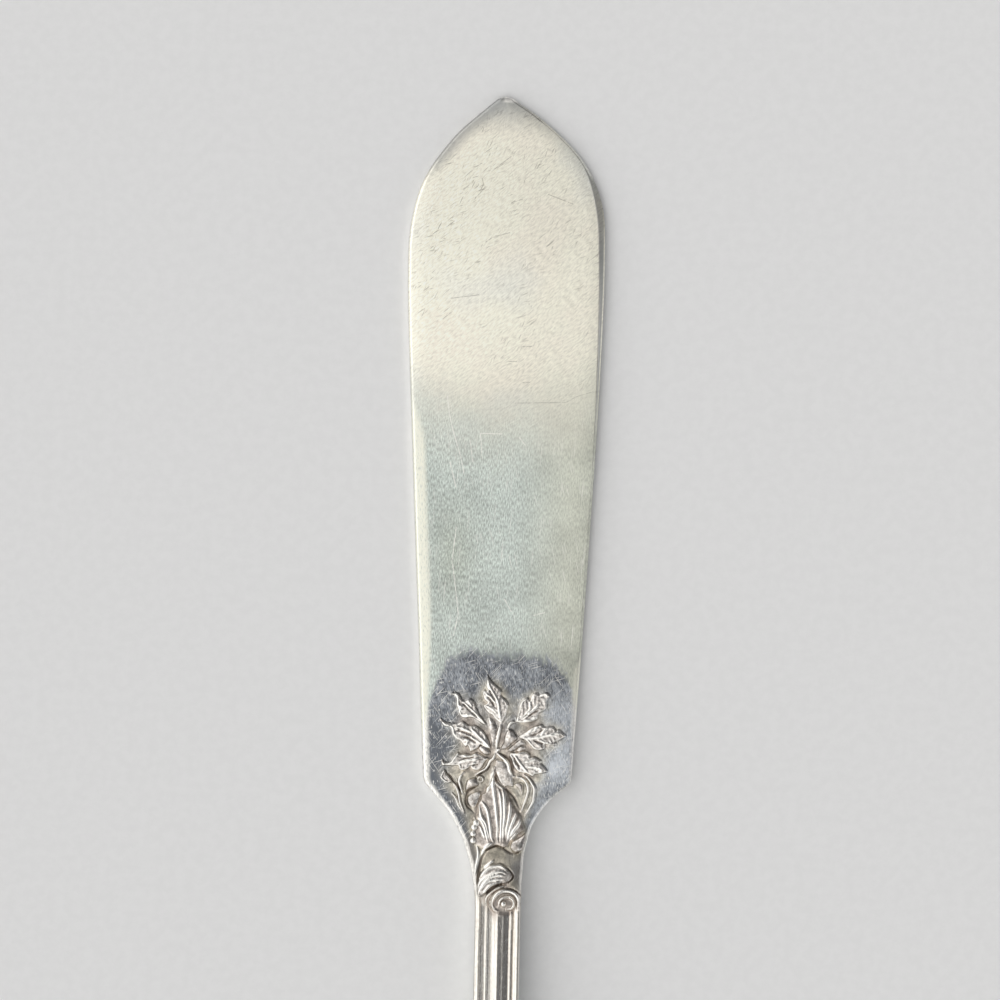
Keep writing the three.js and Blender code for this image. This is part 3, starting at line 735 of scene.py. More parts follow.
# fine veins either side of a midrib, leaning towards the leaf's tip
def combedVeins(x, y, midrib, inward):
    run = smoothRun(midrib)
    toHeart = np.hypot(*(run - spray["heart"]).T)
    if toHeart[0] > toHeart[-1]:
        run = run[::-1]
    patch = inward > 0
    off, along = runDistance(x[patch], y[patch], run)
    length = np.hypot(*np.diff(run, axis=0).T).sum()
    phase = (along * length - spray["combLean"] * off) / spray["comb"][0]
    veins = np.zeros(x.shape)
    veins[patch] = (0.5 + 0.5 * np.cos(2 * np.pi * phase)) ** 2 * smoothStep(off, *spray["combFrom"])
    return veins * smoothStep(inward, *spray["combRim"])


def strikeSpray(struck):
    x, y = struck.x, struck.y
    for edge, height, crown in buds.values():
        top, inward = raised(x, y, edge, height, crown, spray["wall"])
        struck.add(top, smoothStep(inward, 0, spray["skin"]), 0.0)
    crumple = sum(share * lumps(x, y, size, seed) for share, size, seed in spray["crumples"])
    for leaf in leaves.values():
        top, inward = raised(x, y, leaf["edge"], spray["leafHeight"], spray["leafCrown"], spray["wall"])
        within = smoothStep(inward, 0, spray["soft"])
        top = top + spray["crumple"] * crumple * within
        veins = spray["rimShine"] * np.clip(1 - ((inward - spray["rimAt"]) / spray["rimAt"]) ** 2, 0, 1)
        top = top + spray["rimHeight"] * veins
        comb = combedVeins(x, y, leaf["ribs"][0], inward)
        top = top + spray["comb"][1] * comb
        veins = np.maximum(veins, spray["combShine"] * comb)
        for index, rib in enumerate(leaf["ribs"]):
            half, height = spray["midrib"] if index == 0 else spray["vein"]
            ridge = bead(x, y, rib, half) * smoothStep(inward, *spray["ribEnds"])
            top = top + height * ridge
            veins = np.maximum(veins, ridge)
        half, depth = spray["furrow"]
        for line in leaf.get("furrows", []):
            furrow = bead(x, y, line, half) * within
            top = top - depth * furrow
            struck.cut = np.maximum(struck.cut, spray["furrowShade"] * furrow)
        struck.add(top, smoothStep(inward, 0, spray["skin"]), veins)
    for points, half in stalks + curledRims:
        stalk = bead(x, y, points, half, spray["stalkEnds"])
        struck.addCord(stalk, spray["stalkHeight"], spray["stalkShine"])
    ringX, ringY = budRing["at"]
    offRing = (np.hypot(x - ringX, y - ringY) - budRing["radius"]) / budRing["half"]
    ring = np.clip(1 - offRing ** 2, 0, 1)
    struck.add(budRing["height"] * ring, ring, budRing["shine"] * ring)


# a combed form: a body with ridges drawn over it, and pearls beside it
def strikeCombed(struck, form):
    x, y = struck.x, struck.y
    top, inward = raised(x, y, form["edge"], form["height"], form["crown"], spray["wall"], form["swellOver"])
    combed = np.zeros(x.shape)
    for line in form["ridges"]:
        combed = np.maximum(combed, bead(x, y, line, form["ridgeHalf"], form["ridgeEnds"]))
    within = smoothStep(inward, 0, spray["skin"])
    struck.add(top + form["ridgeHeight"] * combed, within, combed)
    between = 1 - smoothStep(combed, 0, form["valleyEnd"])
    struck.valley = np.maximum(struck.valley, form["valley"] * within * between)
    for pearlX, pearlY in form.get("pearls", []):
        pearl = ballAt(np.hypot(x - pearlX, y - pearlY), form["pearl"])
        top = np.where(pearl > 0, form["height"] + form["pearlHeight"] * pearl, 0)
        struck.add(top, pearl, form["pearlShine"] * pearl)


def strikeVolute(struck):
    x, y = struck.x, struck.y
    for line, half in volute["rings"]:
        ring = bead(x, y, line, half, volute["ringEnds"])
        struck.addCord(ring, volute["ringHeight"], volute["ringShine"])
    disc = voluteRound(x, y)
    between = 1 - smoothStep(struck.vein, 0, volute["valleyEnd"])
    struck.valley = np.maximum(struck.valley, volute["valley"] * disc * between)
    pearl = ballAt(fromEye(x, y), volute["pearl"])
    struck.add(volute["pearlHeight"] * pearl, pearl, pearl)
    struck.level = struck.level - volute["fall"] * (x - volute["eye"][0]) * disc


# flutes fanned out over the butt end of the handle
terminal = {
    "length": 18.0,
    "count": 5,
    "spread": 24.0,         # degrees to either side
    "rootGap": 0.5,
    "half": 1.0,
    "height": 0.45,
    "shortest": 0.6,        # the outer flutes, as a share of the middle one
    "bend": (0.35, 0.5),    # where a flute bends, as shares across and down
    "ends": 0.3,
    "shine": 0.5,
}


def strikeTerminal(struck):
    rootY = knife["widestY"] + terminal["length"] / 2
    for share in np.linspace(-1, 1, terminal["count"]):
        rootX = middleLine[0][1] + 2 * terminal["rootGap"] * share
        lean = math.radians(terminal["spread"] * share)
        reach = terminal["length"] * mixed(1, terminal["shortest"], abs(share))
        top = rootY - abs(share)
        tip = (rootX + reach * math.sin(lean), top - reach * math.cos(lean))
        bend = (mixed(rootX, tip[0], terminal["bend"][0]), mixed(top, tip[1], terminal["bend"][1]))
        flute = bead(struck.x, struck.y, [(rootX, top), bend, tip], terminal["half"], terminal["ends"])
        struck.add(terminal["height"] * flute, 0.0, terminal["shine"] * flute)


def strikeAll(x, y):
    whole = Struck(x, y)
    head = (y[:, 0] < swell["top"]) & (y[:, 0] > volute["foot"])
    butt = y[:, 0] < knife["widestY"] + terminal["length"]
    patch = Struck(x[head], y[head])
    strikeSpray(patch)
    strikeCombed(patch, acanthus)
    strikeCombed(patch, lock)
    strikeVolute(patch)
    for line in cuts["lines"]:
        patch.cut = np.maximum(patch.cut, bead(patch.x, patch.y, line, cuts["half"], cuts["ends"]))
    patch.level = patch.level - cuts["depth"] * patch.cut
    fan = Struck(x[butt], y[butt])
    strikeTerminal(fan)
    for rows, part in ((head, patch), (butt, fan)):
        for name in ("level", "body", "vein", "cut", "valley"):
            getattr(whole, name)[rows] = getattr(part, name)
    return whole


# rows of the face, close together where it is struck, and whether each has every column or only some
def faceRows():
    k = knife
    fan = k["widestY"] + terminal["length"] / 2 + 1
    stretches = [   # from, to, step, every column
        (k["tipY"], k["tipY"] - 5, 0.25, False),
        (k["tipY"] - 5, k["pointY"], 0.75, False),
        (k["pointY"], swell["top"] + 1, 1.35, False),
        (swell["top"] + 1, 25, 0.2, True),
        (25, 11, 0.085, True),
        (11, -2, 0.11, True),
        (-2, -3.5, 0.2, True),
        (-3.5, -12, 0.45, False),
        (-12, fan, 1.6, False),
        (fan, k["buttY"], 0.3, False),
    ]
    rows, full = [], []
    for top, foot, step, fine in stretches:
        run = np.linspace(top, foot, max(2, round((top - foot) / step)), endpoint=False)
        rows.append(run)
        full.append(np.full(len(run), fine))
    return np.append(np.concatenate(rows), k["buttY"]), np.append(np.concatenate(full), False)


# places across the face in shares of half its width, closer together at the edges
def faceColumns(columns, edgeColumns, edgeShare):
    closeness = 1.3
    middle = np.linspace(-1 + edgeShare, 1 - edgeShare, columns)
    edge = edgeShare * np.linspace(0, 1, edgeColumns, endpoint=False) ** closeness
    return np.concatenate([-1 + edge, middle, (1 - edge)[::-1]])


def faceGrid(rows, columns):
    y = np.repeat(rows[:, None], len(columns), 1)
    return middleAt(y) + columns[None, :] * halfAt(y), y


# the line along the middle of the edge where the two halves meet
def partingAt(y):
    return backAt(y) + (plainThickAt(y) + swellAt(middleAt(y), y)) / 2


# the mean over a square of neighbours, by running sums
def blurred(values, reach):
    for axis in (0, 1):
        pad = [(reach + 1, reach) if a == axis else (0, 0) for a in (0, 1)]
        sums = np.cumsum(np.pad(values, pad, mode="edge"), axis=axis)
        count = values.shape[axis]
        head = np.take(sums, range(2 * reach + 1, 2 * reach + 1 + count), axis=axis)
        tail = np.take(sums, range(0, count), axis=axis)
        values = (head - tail) / (2 * reach + 1)
    return values


creaseAngle = 62


# a closed half of the knife: a face of rows and columns, walls down to the parting line, a flat underside
def halfSolid(name, x, y, face, parting, full, some, marks, upward):
    rows, columns = x.shape
    used = np.zeros(x.shape, bool)
    used[:, some] = True
    used[full] = True
    at = np.full(x.shape, -1)
    at[used] = np.arange(used.sum())
    rimAt = used.sum() + np.arange(2 * rows).reshape(rows, 2)
    faceCorners = np.stack([x, y, face], -1)[used]
    sides = [0, -1]
    rimCorners = np.stack([x[:, sides], y[:, sides], np.repeat(parting[:, None], 2, 1)], -1).reshape(-1, 3)
    faces = []
    for above, below, bothFull in zip(at[:-1], at[1:], full[:-1] & full[1:]):
        stops = range(columns) if bothFull else some
        for first, last in zip(stops, stops[1:]):
            upper, lower = above[first:last + 1], below[first:last + 1]
            faces.append([*lower[lower >= 0], *upper[upper >= 0][::-1]])
    left = np.stack([rimAt[:-1, 0], rimAt[1:, 0], at[1:, 0], at[:-1, 0]], -1)
    right = np.stack([at[:-1, -1], at[1:, -1], rimAt[1:, 1], rimAt[:-1, 1]], -1)
    under = np.stack([rimAt[:-1, 0], rimAt[:-1, 1], rimAt[1:, 1], rimAt[1:, 0]], -1)
    faces += np.concatenate([left, right, under]).tolist()
    faces.append([*at[0][used[0]], rimAt[0, 1], rimAt[0, 0]])
    faces.append([*at[-1][used[-1]][::-1], rimAt[-1, 0], rimAt[-1, 1]])
    faces = [[int(c) for c in (corners if upward else corners[::-1])] for corners in faces]
    mesh = bpy.data.meshes.new(name)
    mesh.from_pydata((np.concatenate([faceCorners, rimCorners]) * mm).tolist(), [], faces)
    for markName, values in marks.items():
        atCorners = np.zeros(len(mesh.vertices), np.float32)
        atCorners[:len(faceCorners)] = values[used]
        mesh.attributes.new(markName, "FLOAT", "POINT").data.foreach_set("value", atCorners)
    mesh.polygons.foreach_set("use_smooth", [True] * len(mesh.polygons))
    mesh.set_sharp_from_angle(angle=math.radians(creaseAngle))
    piece = bpy.data.objects.new(name, mesh)
    bpy.context.scene.collection.objects.link(piece)
    print(name, "modelled:", sum(len(corners) - 2 for corners in faces), "triangles")
    return piece


# marks of wear and tarnish, and of painted light and shade, on the front; a pair of heights or widths is
# where a mark starts and is full
wearAndPaintedLight = {
    "sunkReach": 8,             # a place is sunk if it lies this much below its neighbours
    "sunkDepth": 0.1,
    "crowdBody": 0.3,           # a place is crowded if much of this lies round it
    "crowdReach": 16,
    "crowded": (0.05, 0.5),
    "crowdHollow": (0.3, 0.7),
    "stem": (1.5, -0.5),
    "ground": (-1.6, 2.2),      # down from the arch
    "flank": (78.5, 82.5),      # shade along both sides of the point
    "flankWidth": 1.9,
    "flankLeft": 0.88,
    "flankRight": 0.12,
    "point": (83.8, 89.4),
    "pointShade": 0.8,
    "paintedBevelShade": 0.92,             # painted shade on the bevel on the right, but for its outer edge
    "bevelShadeFoot": (47, 58),
    "bevelShadeTop": (79, 71),
    "bevelShadeInner": (-0.02, 0.08),
    "bevelShadeOuter": (0.08, 0.17),
    "bevelHighlight": 0.12,          # a painted highlight along the line where the ground bevel starts
    "bevelHighlightFrom": (0.1, 0.5),
    "bevelHighlightShine": 0.7,
    "glintTop": (88.2, 88.6),
    "glintAcross": (-0.8, -0.3),
    "leftHighlight": (0.6, 1.0, 1.7),    # painted highlight bands inside the edges, wider going up
    "leftRise": (11, 14),
    "leftWiden": (18, 32),
    "leftEnd": (58, 50),
    "rightHighlight": (0.45, 0.95),
    "rightWiden": (14, 25),
    "rightEnd": (28, 25),
    "bandFade": 0.6,
    "lightTop": 0.32,            # painted light and shade over the tarnished ground
    "lightLeft": -0.18,
    "lightRight": 0.42,
    "lightAcross": (-4, 5),
    "lightDown": (25, 16),
    "lightFar": 0.3,             # painted light, lighter again beside the leaves on the right
    "farAcross": (2, 6),
    "farTop": (25, 22),
    "farFoot": (11, 15),
    "smudgeAt": (-5.2, 38),
    "smudgeHalf": (2.2, 5),
}


def faceMarks(x, y, distance, struck, shape):
    w = wearAndPaintedLight
    onLeft = (x < middleAt(y)).astype(float)
    bevel = bevelWidth(x, y)
    stem = smoothStep(y, *w["stem"])
    sunk = np.clip((blurred(shape, w["sunkReach"]) - shape) / w["sunkDepth"], 0, 1)
    crowd = blurred((struck.body > w["crowdBody"]).astype(float), w["crowdReach"])

    flank = smoothStep(y, *w["flank"]) * mixed(w["flankRight"], w["flankLeft"], onLeft)
    flank = flank * smoothStep(w["flankWidth"] - distance, 0, w["flankWidth"])
    point = w["pointShade"] * smoothStep(y, *w["point"])
    # painted shade over the ground bevel on the right, kept off its outermost edge
    paintedBevelShade = w["paintedBevelShade"] * (1 - onLeft) * smoothStep(y, *w["bevelShadeFoot"]) * smoothStep(y, *w["bevelShadeTop"])
    paintedBevelShade = paintedBevelShade * smoothStep(bevel - distance, *w["bevelShadeInner"])
    paintedBevelShade = paintedBevelShade * smoothStep(distance, *w["bevelShadeOuter"])
    # a painted highlight along the inner line of the ground bevel
    bevelHighlight = (1 - onLeft) * np.clip(1 - np.abs(distance - bevel) / w["bevelHighlight"], 0, 1)
    bevelHighlight = bevelHighlight * smoothStep(grindAt(y), *w["bevelHighlightFrom"])
    tipGlint = smoothStep(y, *w["glintTop"]) * smoothStep(x, *w["glintAcross"])

    # painted highlight bands inside the edges
    narrow, middle, wide = w["leftHighlight"]
    leftWidth = mixed(narrow, middle, smoothStep(y, *w["leftRise"]))
    leftWidth = mixed(leftWidth, wide, smoothStep(y, *w["leftWiden"])) * smoothStep(y, *w["leftEnd"])
    rightWidth = mixed(*w["rightHighlight"], smoothStep(y, *w["rightWiden"])) * smoothStep(y, *w["rightEnd"])
    bandWidth = np.where(onLeft > 0, leftWidth, rightWidth)

    # painted light and shade over the tarnished ground: darker on the left, lighter on the right and again
    # beside the leaves on the right
    lightAndShade = mixed(w["lightLeft"], w["lightRight"], smoothStep(x, *w["lightAcross"]))
    lightAndShade = mixed(w["lightTop"], lightAndShade, smoothStep(y, *w["lightDown"]))
    far = smoothStep(x, *w["farAcross"]) * smoothStep(y, *w["farTop"]) * smoothStep(y, *w["farFoot"])
    smudgeX = (x - w["smudgeAt"][0]) / w["smudgeHalf"][0]
    smudgeY = (y - w["smudgeAt"][1]) / w["smudgeHalf"][1]
    return {
        "body": struck.body,
        "vein": struck.vein,
        "cut": struck.cut,
        "hollow": np.maximum(sunk * mixed(smoothStep(crowd, *w["crowdHollow"]), 1, stem), struck.valley),
        "crowd": smoothStep(crowd, *w["crowded"]) * (1 - stem),
        "ground": smoothStep(belowArch(x, y), *w["ground"]) * (1 - stem),
        "lightAndShade": lightAndShade + w["lightFar"] * far,
        "smudge": np.exp(-smudgeX ** 2 - smudgeY ** 2),
        "stem": stem,
        "band": smoothStep(bandWidth - distance, 0, w["bandFade"]) * (1 - stem),
        "tipShade": 1 - (1 - flank) * (1 - point) * (1 - paintedBevelShade),
        "glint": np.maximum(tipGlint, w["bevelHighlightShine"] * bevelHighlight),
    }


# the front: columns across it, and how many of them the plain rows skip
frontMesh = {"columns": 208, "edgeColumns": 15, "edgeShare": 0.085, "skip": 3, "footing": 0.25}


def makeFront():
    rows, full = faceRows()
    edgeCount = frontMesh["edgeColumns"]
    columns = faceColumns(frontMesh["columns"], edgeCount, frontMesh["edgeShare"])
    last = len(columns) - edgeCount
    some = [*range(edgeCount), *range(edgeCount, last, frontMesh["skip"]), *range(last, len(columns))]
    x, y = faceGrid(rows, columns)
    distance = edgeDistance(x, y)
    struck = strikeAll(x, y)
    relief = struck.level * smoothStep(distance, 0, frontMesh["footing"])   # nothing stands over the edge
    edge = edgeShape(x, y, distance)
    face = backAt(y) + plainThickAt(y) + swellAt(x, y) + edge + relief
    shape = relief + np.where(y < reeds["start"], edge, 0)
    marks = faceMarks(x, y, distance, struck, shape)
    return halfSolid("silver_front", x, y, face, partingAt(rows), full, some, marks, True)


# the plain back needs fewer rows and columns
backMesh = {"columns": 58, "edgeColumns": 9, "edgeShare": 0.05, "skip": 3, "bright": (0.6, 0.1)}


def makeBack():
    skip = backMesh["skip"]
    rows, _ = faceRows()
    rows = rows[np.append(np.arange(0, len(rows) - 1, skip), len(rows) - 1)]
    columns = faceColumns(backMesh["columns"], backMesh["edgeColumns"], backMesh["edgeShare"])
    some = range(0, len(columns), skip)
    x, y = faceGrid(rows, columns)
    distance = edgeDistance(x, y)
    thick = plainThickAt(y) + swellAt(middleAt(y), y)
    rise = thick * rim["drop"] / knife["bladeThick"] / 2
    face = backAt(y) + rise * np.clip(1 - distance / (2 * rim["width"]), 0, 1) ** 2
    full = np.zeros(len(rows), bool)
    marks = {"edge": smoothStep(distance, *backMesh["bright"])}
    return halfSolid("silver_back", x, y, face, partingAt(rows), full, some, marks, False)


# node helpers
def newTree(owner):
    owner.use_nodes = True
    owner.node_tree.nodes.clear()
    return owner.node_tree


def node(tree, kind, inputs=None, **settings):
    made = tree.nodes.new(kind)
    for key, value in settings.items():
        setattr(made, key, value)
    for key, value in (inputs or {}).items():
        if isinstance(value, bpy.types.NodeSocket):
            tree.links.new(value, made.inputs[key])
        else:
            made.inputs[key].default_value = value
    return made


def mapped(tree, value, low, high, newLow=0.0, newHigh=1.0):
    inputs = {0: value, 1: low, 2: high, 3: newLow, 4: newHigh}
    return node(tree, "ShaderNodeMapRange", inputs, interpolation_type="SMOOTHSTEP").outputs[0]


def maths(tree, operation, a, b=0.0, c=0.0):
    return node(tree, "ShaderNodeMath", {0: a, 1: b, 2: c}, operation=operation).outputs[0]


# value times factor, plus a start
def stepped(tree, value, factor, start):
    return maths(tree, "MULTIPLY_ADD", value, factor, start)


def product(tree, first, *others):
    for other in others:
        first = maths(tree, "MULTIPLY", first, other)
    return first


def most(tree, first, *others):
    for other in others:
        first = maths(tree, "MAXIMUM", first, other)
    return first


def tinted(tree, share, a, b):
    made = node(tree, "ShaderNodeMix", data_type="RGBA")
    for socket, value in ((made.inputs[0], share), (made.inputs[6], a), (made.inputs[7], b)):
        if isinstance(value, bpy.types.NodeSocket):
            tree.links.new(value, socket)
        else:
            socket.default_value = (*value, 1) if isinstance(value, tuple) else value
    return made.outputs[2]


def lit(tree, colour, factor):
    inputs = {0: colour, "Scale": factor}
    return node(tree, "ShaderNodeVectorMath", inputs, operation="SCALE").outputs[0]


def mark(tree, name):
    return node(tree, "ShaderNodeAttribute", attribute_name=name).outputs["Fac"]


def noise(tree, place, scale, detail=2.0, roughness=0.5):
    inputs = {"Vector": place, "Scale": scale, "Detail": detail, "Roughness": roughness}
    return node(tree, "ShaderNodeTexNoise", inputs).outputs["Fac"]


# noise drawn out along one direction, its width and length in millimetres
def drawnNoise(tree, place, angle, width, length, offset, detail=0.0):
    turned = node(tree, "ShaderNodeMapping", {
        "Vector": place, "Location": (offset, offset, 0), "Rotation": (0, 0, math.radians(angle)),
    }).outputs[0]
    drawn = node(tree, "ShaderNodeMapping", {
        "Vector": turned, "Scale": (1 / (width * mm), 1 / (length * mm), 1),
    }).outputs[0]
    return noise(tree, drawn, 1.0, detail)


# sets of short scratches: angle, width, length, amount and offset of each set
def scratches(tree, place, sets):
    softness = 0.07
    drawn = []
    for angle, width, length, amount, offset in sets:
        strokes = drawnNoise(tree, place, angle, width, length, offset)
        drawn.append(mapped(tree, strokes, 1 - amount, 1 - amount + softness))
    return most(tree, *drawn)


# one straight scratch as a node group: from a start to an end, thinning out at both
def scarGroup():
    core = 0.3  # the share of its half width over which it is full
    group = bpy.data.node_groups.new("scar", "ShaderNodeTree")
    for name in ("Place", "Start", "End"):
        group.interface.new_socket(name, in_out="INPUT", socket_type="NodeSocketVector")
    group.interface.new_socket("Half", in_out="INPUT", socket_type="NodeSocketFloat")
    group.interface.new_socket("Mark", in_out="OUTPUT", socket_type="NodeSocketFloat")
    given = group.nodes.new("NodeGroupInput").outputs

    def vector(operation, a, b, output="Vector"):
        return node(group, "ShaderNodeVectorMath", {0: a, 1: b}, operation=operation).outputs[output]

    reach = vector("SUBTRACT", given["End"], given["Start"])
    flat = vector("MULTIPLY", vector("SUBTRACT", given["Place"], given["Start"]), (1, 1, 0))
    gone = vector("DOT_PRODUCT", flat, reach, "Value")
    whole = vector("DOT_PRODUCT", reach, reach, "Value")
    held = node(group, "ShaderNodeClamp", {0: maths(group, "DIVIDE", gone, whole)}).outputs[0]
    nearest = node(group, "ShaderNodeVectorMath", {0: reach, "Scale": held}, operation="SCALE").outputs[0]
    off = maths(group, "DIVIDE", vector("DISTANCE", flat, nearest, "Value"), given["Half"])
    result = group.nodes.new("NodeGroupOutput")
    group.links.new(mapped(group, off, 1.0, core), result.inputs["Mark"])
    return group


def scarred(tree, place, runs, half):
    drawn = []
    for run in runs:
        for start, end in zip(run, run[1:]):
            drawn.append(node(tree, "ShaderNodeGroup", {
                "Place": place,
                "Start": (start[0] * mm, start[1] * mm, 0),
                "End": (end[0] * mm, end[1] * mm, 0),
                "Half": half * mm,
            }, node_tree=scar).outputs[0])
    return most(tree, *drawn)


# single scratches that stand out on the blade
scars = {
    "darkHalf": 0.07,
    "brightHalf": 0.09,
    "dark": [
        [(-1.81, 80.61), (0.39, 82.36)],
        [(-3.75, 80.95), (-2.86, 81.56)],
        [(-3.53, 77.62), (-2.37, 78.97)],
        [(-2.26, 72.8), (-1.38, 73.41), (0.4, 73.89)],
        [(4.63, 78.2), (7.32, 77.21)],
        [(0.56, 77.23), (1.74, 77.63)],
        [(-6.01, 66.49), (-2.9, 66.93)],
        [(-6.87, 64.19), (-5.84, 65.03)],
        [(0.49, 59.57), (1.39, 59.61)],
        [(2.11, 61.27), (3.07, 61.32)],
        [(2.15, 57.29), (2.92, 57.34)],
        [(4.16, 82.35), (4.47, 83.3)],
        [(1.32, 54.98), (6.97, 55.15), (8.0, 55.76), (9.92, 56.39)],
        [(-2.79, 79.89), (-2.56, 79.01)],
        [(4.26, 79.91), (4.96, 80.92)],
        [(3.29, 81.08), (3.78, 81.84)],
    ],
    "bright": [
        [(-6.2, 55.66), (-5.94, 53.58), (-5.46, 51.66), (-4.59, 48.86), (-4.18, 46.93)],
        [(-2.55, 51.57), (-0.11, 51.53)],
        [(-2.49, 51.57), (-2.27, 49.48)],
        [(-4.98, 41.12), (-5.36, 37.41), (-4.76, 32.96), (-4.59, 31.47), (-5.07, 29.09)],
        [(0.51, 33.2), (1.28, 31.87)],
        [(-5.68, 26.03), (-3.84, 27.55)],
        [(3.82, 31.47), (5.0, 31.79)],
        [(-5.79, 48.31), (-5.08, 45.55)],
        [(-3.62, 50.79), (-3.24, 48.36)],
        [(1.82, 51.22), (2.5, 50.35)],
    ],
}

silver = {
    "cream": (0.985, 0.965, 0.84),          # upper blade, worn to a satin
    "blush": (0.97, 0.93, 0.815),
    "ash": (0.87, 0.875, 0.815),
    "cool": (0.57, 0.625, 0.59),            # lower blade, a greyer tone painted in as a reflection
    "coolWarm": (0.62, 0.64, 0.56),         # turning warm towards the right
    "smudge": (0.44, 0.475, 0.42),
    "band": (0.90, 0.90, 0.79),
    "groundDark": (0.145, 0.157, 0.178),    # tarnished ground round the ornament
    "groundLight": (0.6, 0.636, 0.685),
    "neckGround": (0.3, 0.275, 0.245),
    "yellowing": (0.68, 0.63, 0.51),
    "leaf": (0.5, 0.46, 0.425),
    "leafLight": (0.84, 0.81, 0.775),
    "hollow": (0.45, 0.39, 0.345),
    "stem": (0.84, 0.815, 0.765),
    "stemWorn": (0.68, 0.64, 0.58),
    # bright silver of worn crests and scratches, also used for painted highlights
    "crest": (0.97, 0.955, 0.91),
    "cut": (0.16, 0.13, 0.11),
    "nick": (0.34, 0.32, 0.27),
    "shade": (0.3, 0.31, 0.32),
    "smudged": 0.75,                        # how strongly each mark shows
    "haired": 0.4,
    "scuffed": 0.65,
    "yellowed": 0.75,
    "hollowed": 0.8,
    "shadedCutIn": 0.85,
    "shaded": 0.85,
    "backHaired": 0.35,
    "backNicked": 0.4,
    "bow": -30.0,                           # the line between upper and lower blade is bowed
    "clouded": 0.005,                       # and clouded
    "speckleShare": 2.0,                    # how much of each noise goes into the ground
    "speckleStart": -1.5,
    "softShare": 1.6,
    "raggedMottle": 1.6,                    # into its ragged border
    "raggedShare": 0.6,
    "stemSpeckle": 0.5,                     # into the stem and the leaves
    "leafMottle": 0.6,
    "satinRoughness": 0.36,
    "groundRoughness": 0.3,
    "stemRoughness": 0.2,
    "leafRoughness": 0.3,
    "hollowRoughness": 0.12,                # over what the place has already
    "coolDepth": 0.8,                       # heights in the surface, as shares of the bump's own
    "scratchDepth": -0.7,
    "crumpleDepth": 6.0,
    "bump": 0.3,
    "bumpDepth": 0.00002,
}

# noises and scratches in the silver
grain = {
    "cloud": (110.0, 3.0, 0.6),             # even noises: scale, detail and roughness
    "patchy": (70.0, 2.0),
    "fine": (3400.0, 2.0, 0.6),
    "crumple": (1500.0, 3.0, 0.65),
    "cluster": (260.0, 3.0, 0.6),
    "ripple": (260.0, 3.0),
    "soft": (330.0, 2.0),
    "backCloud": (90.0, 3.0, 0.6),
    "satin": (48, 0.15, 0.6, 0.4, 3.0),     # drawn out one way: angle, width, length, offset and detail
    "cool": (3, 0.12, 0.45, 0.9, 3.0),
    "speckle": (-6, 0.12, 0.5, 1.7, 2.0),
    "mottle": (-14, 0.5, 1.6, 2.3, 3.0),
    "streak": (0, 0.16, 5.0, 8.1, 2.0),
    "back": (24, 0.2, 0.4, 3.3, 2.0),
    "flecks": [(50, 0.17, 1.7, 0.3, 2.9), (24, 0.16, 1.2, 0.29, 9.4), (72, 0.16, 1.4, 0.29, 7.7)],
    "hair": [(4, 0.13, 4.0, 0.29, 0.0), (-13, 0.13, 3.0, 0.28, 0.7)],
    "scuffs": [(42, 0.1, 3.0, 0.29, 6.1), (-8, 0.1, 0.6, 0.31, 7.3), (74, 0.1, 2.2, 0.28, 5.6),
               (-35, 0.1, 2.6, 0.28, 4.4)],
    "backHair": [(-5, 0.14, 4.0, 0.29, 3.1), (41, 0.14, 3.0, 0.27, 4.7)],
    "backNicks": [(84, 0.16, 0.6, 0.26, 5.3)],
}

# how the silver follows a noise, a mark or a place in metres: from, to, and its level at each end
follow = {
    "blush": (0.42, 0.66),
    "ash": (0.5, 0.7),
    "satinTone": (0.25, 0.7, 0.83, 1.08),
    "paintedSideLight": (-0.009, 0.009, 1.04, 0.95),
    "paintedDimming": (0.062, 0.052, 1.0, 0.87),
    "fleckClusters": (0.42, 0.66, 0.14, 0.7),
    "fleckHeights": (0.055, 0.074, 0.45, 1.0),
    "darkScars": (0.35, 0.55, 0.15, 0.6),
    "brightScars": (0.35, 0.55, 0.25, 0.65),
    "warmSide": (0.001, 0.0085),
    "coolPlay": (-0.002, 0.008, 0.37, 0.18),
    "coolWave": (0.26, 0.74, -1.0, 1.0),
    "coolTone": (0.3, 0.7, 0.91, 1.09),
    "lowerBlade": (0.062, 0.0475),
    "neck": (0.0085, 0.005, 0.0, 0.7),
    "groundBorder": (0.22, 0.8),
    "bandWear": (0.25, 0.55, 0.4, 1.0),
    "yellowing": (0.3, 0.55),
    "stemWear": (0.62, 0.95),
    "leafWear": (0.62, 1.0),
    "crumple": (0.36, 0.64, -0.3, 0.3),
    "crest": (0.1, 0.7),
    "backCool": (0.35, 0.65),
    "backTone": (0.28, 0.72, 0.9, 1.08),
    "backRoughness": (0.3, 0.7, 0.3, 0.38),
}


def followed(tree, value, name):
    return mapped(tree, value, *follow[name])


# a noise with its middle brought to 0
def centred(tree, value):
    return maths(tree, "SUBTRACT", value, 0.5)


# worn silver, from its colour, its roughness and its fine relief
def bareMetal(tree, colour, gloss, relief):
    inputs = {"Strength": silver["bump"], "Distance": silver["bumpDepth"], "Height": relief}
    normal = node(tree, "ShaderNodeBump", inputs).outputs[0]
    inputs = {"Base Color": colour, "Metallic": 1.0, "Roughness": gloss, "Normal": normal}
    shader = node(tree, "ShaderNodeBsdfPrincipled", inputs)
    node(tree, "ShaderNodeOutputMaterial", {"Surface": shader.outputs[0]})


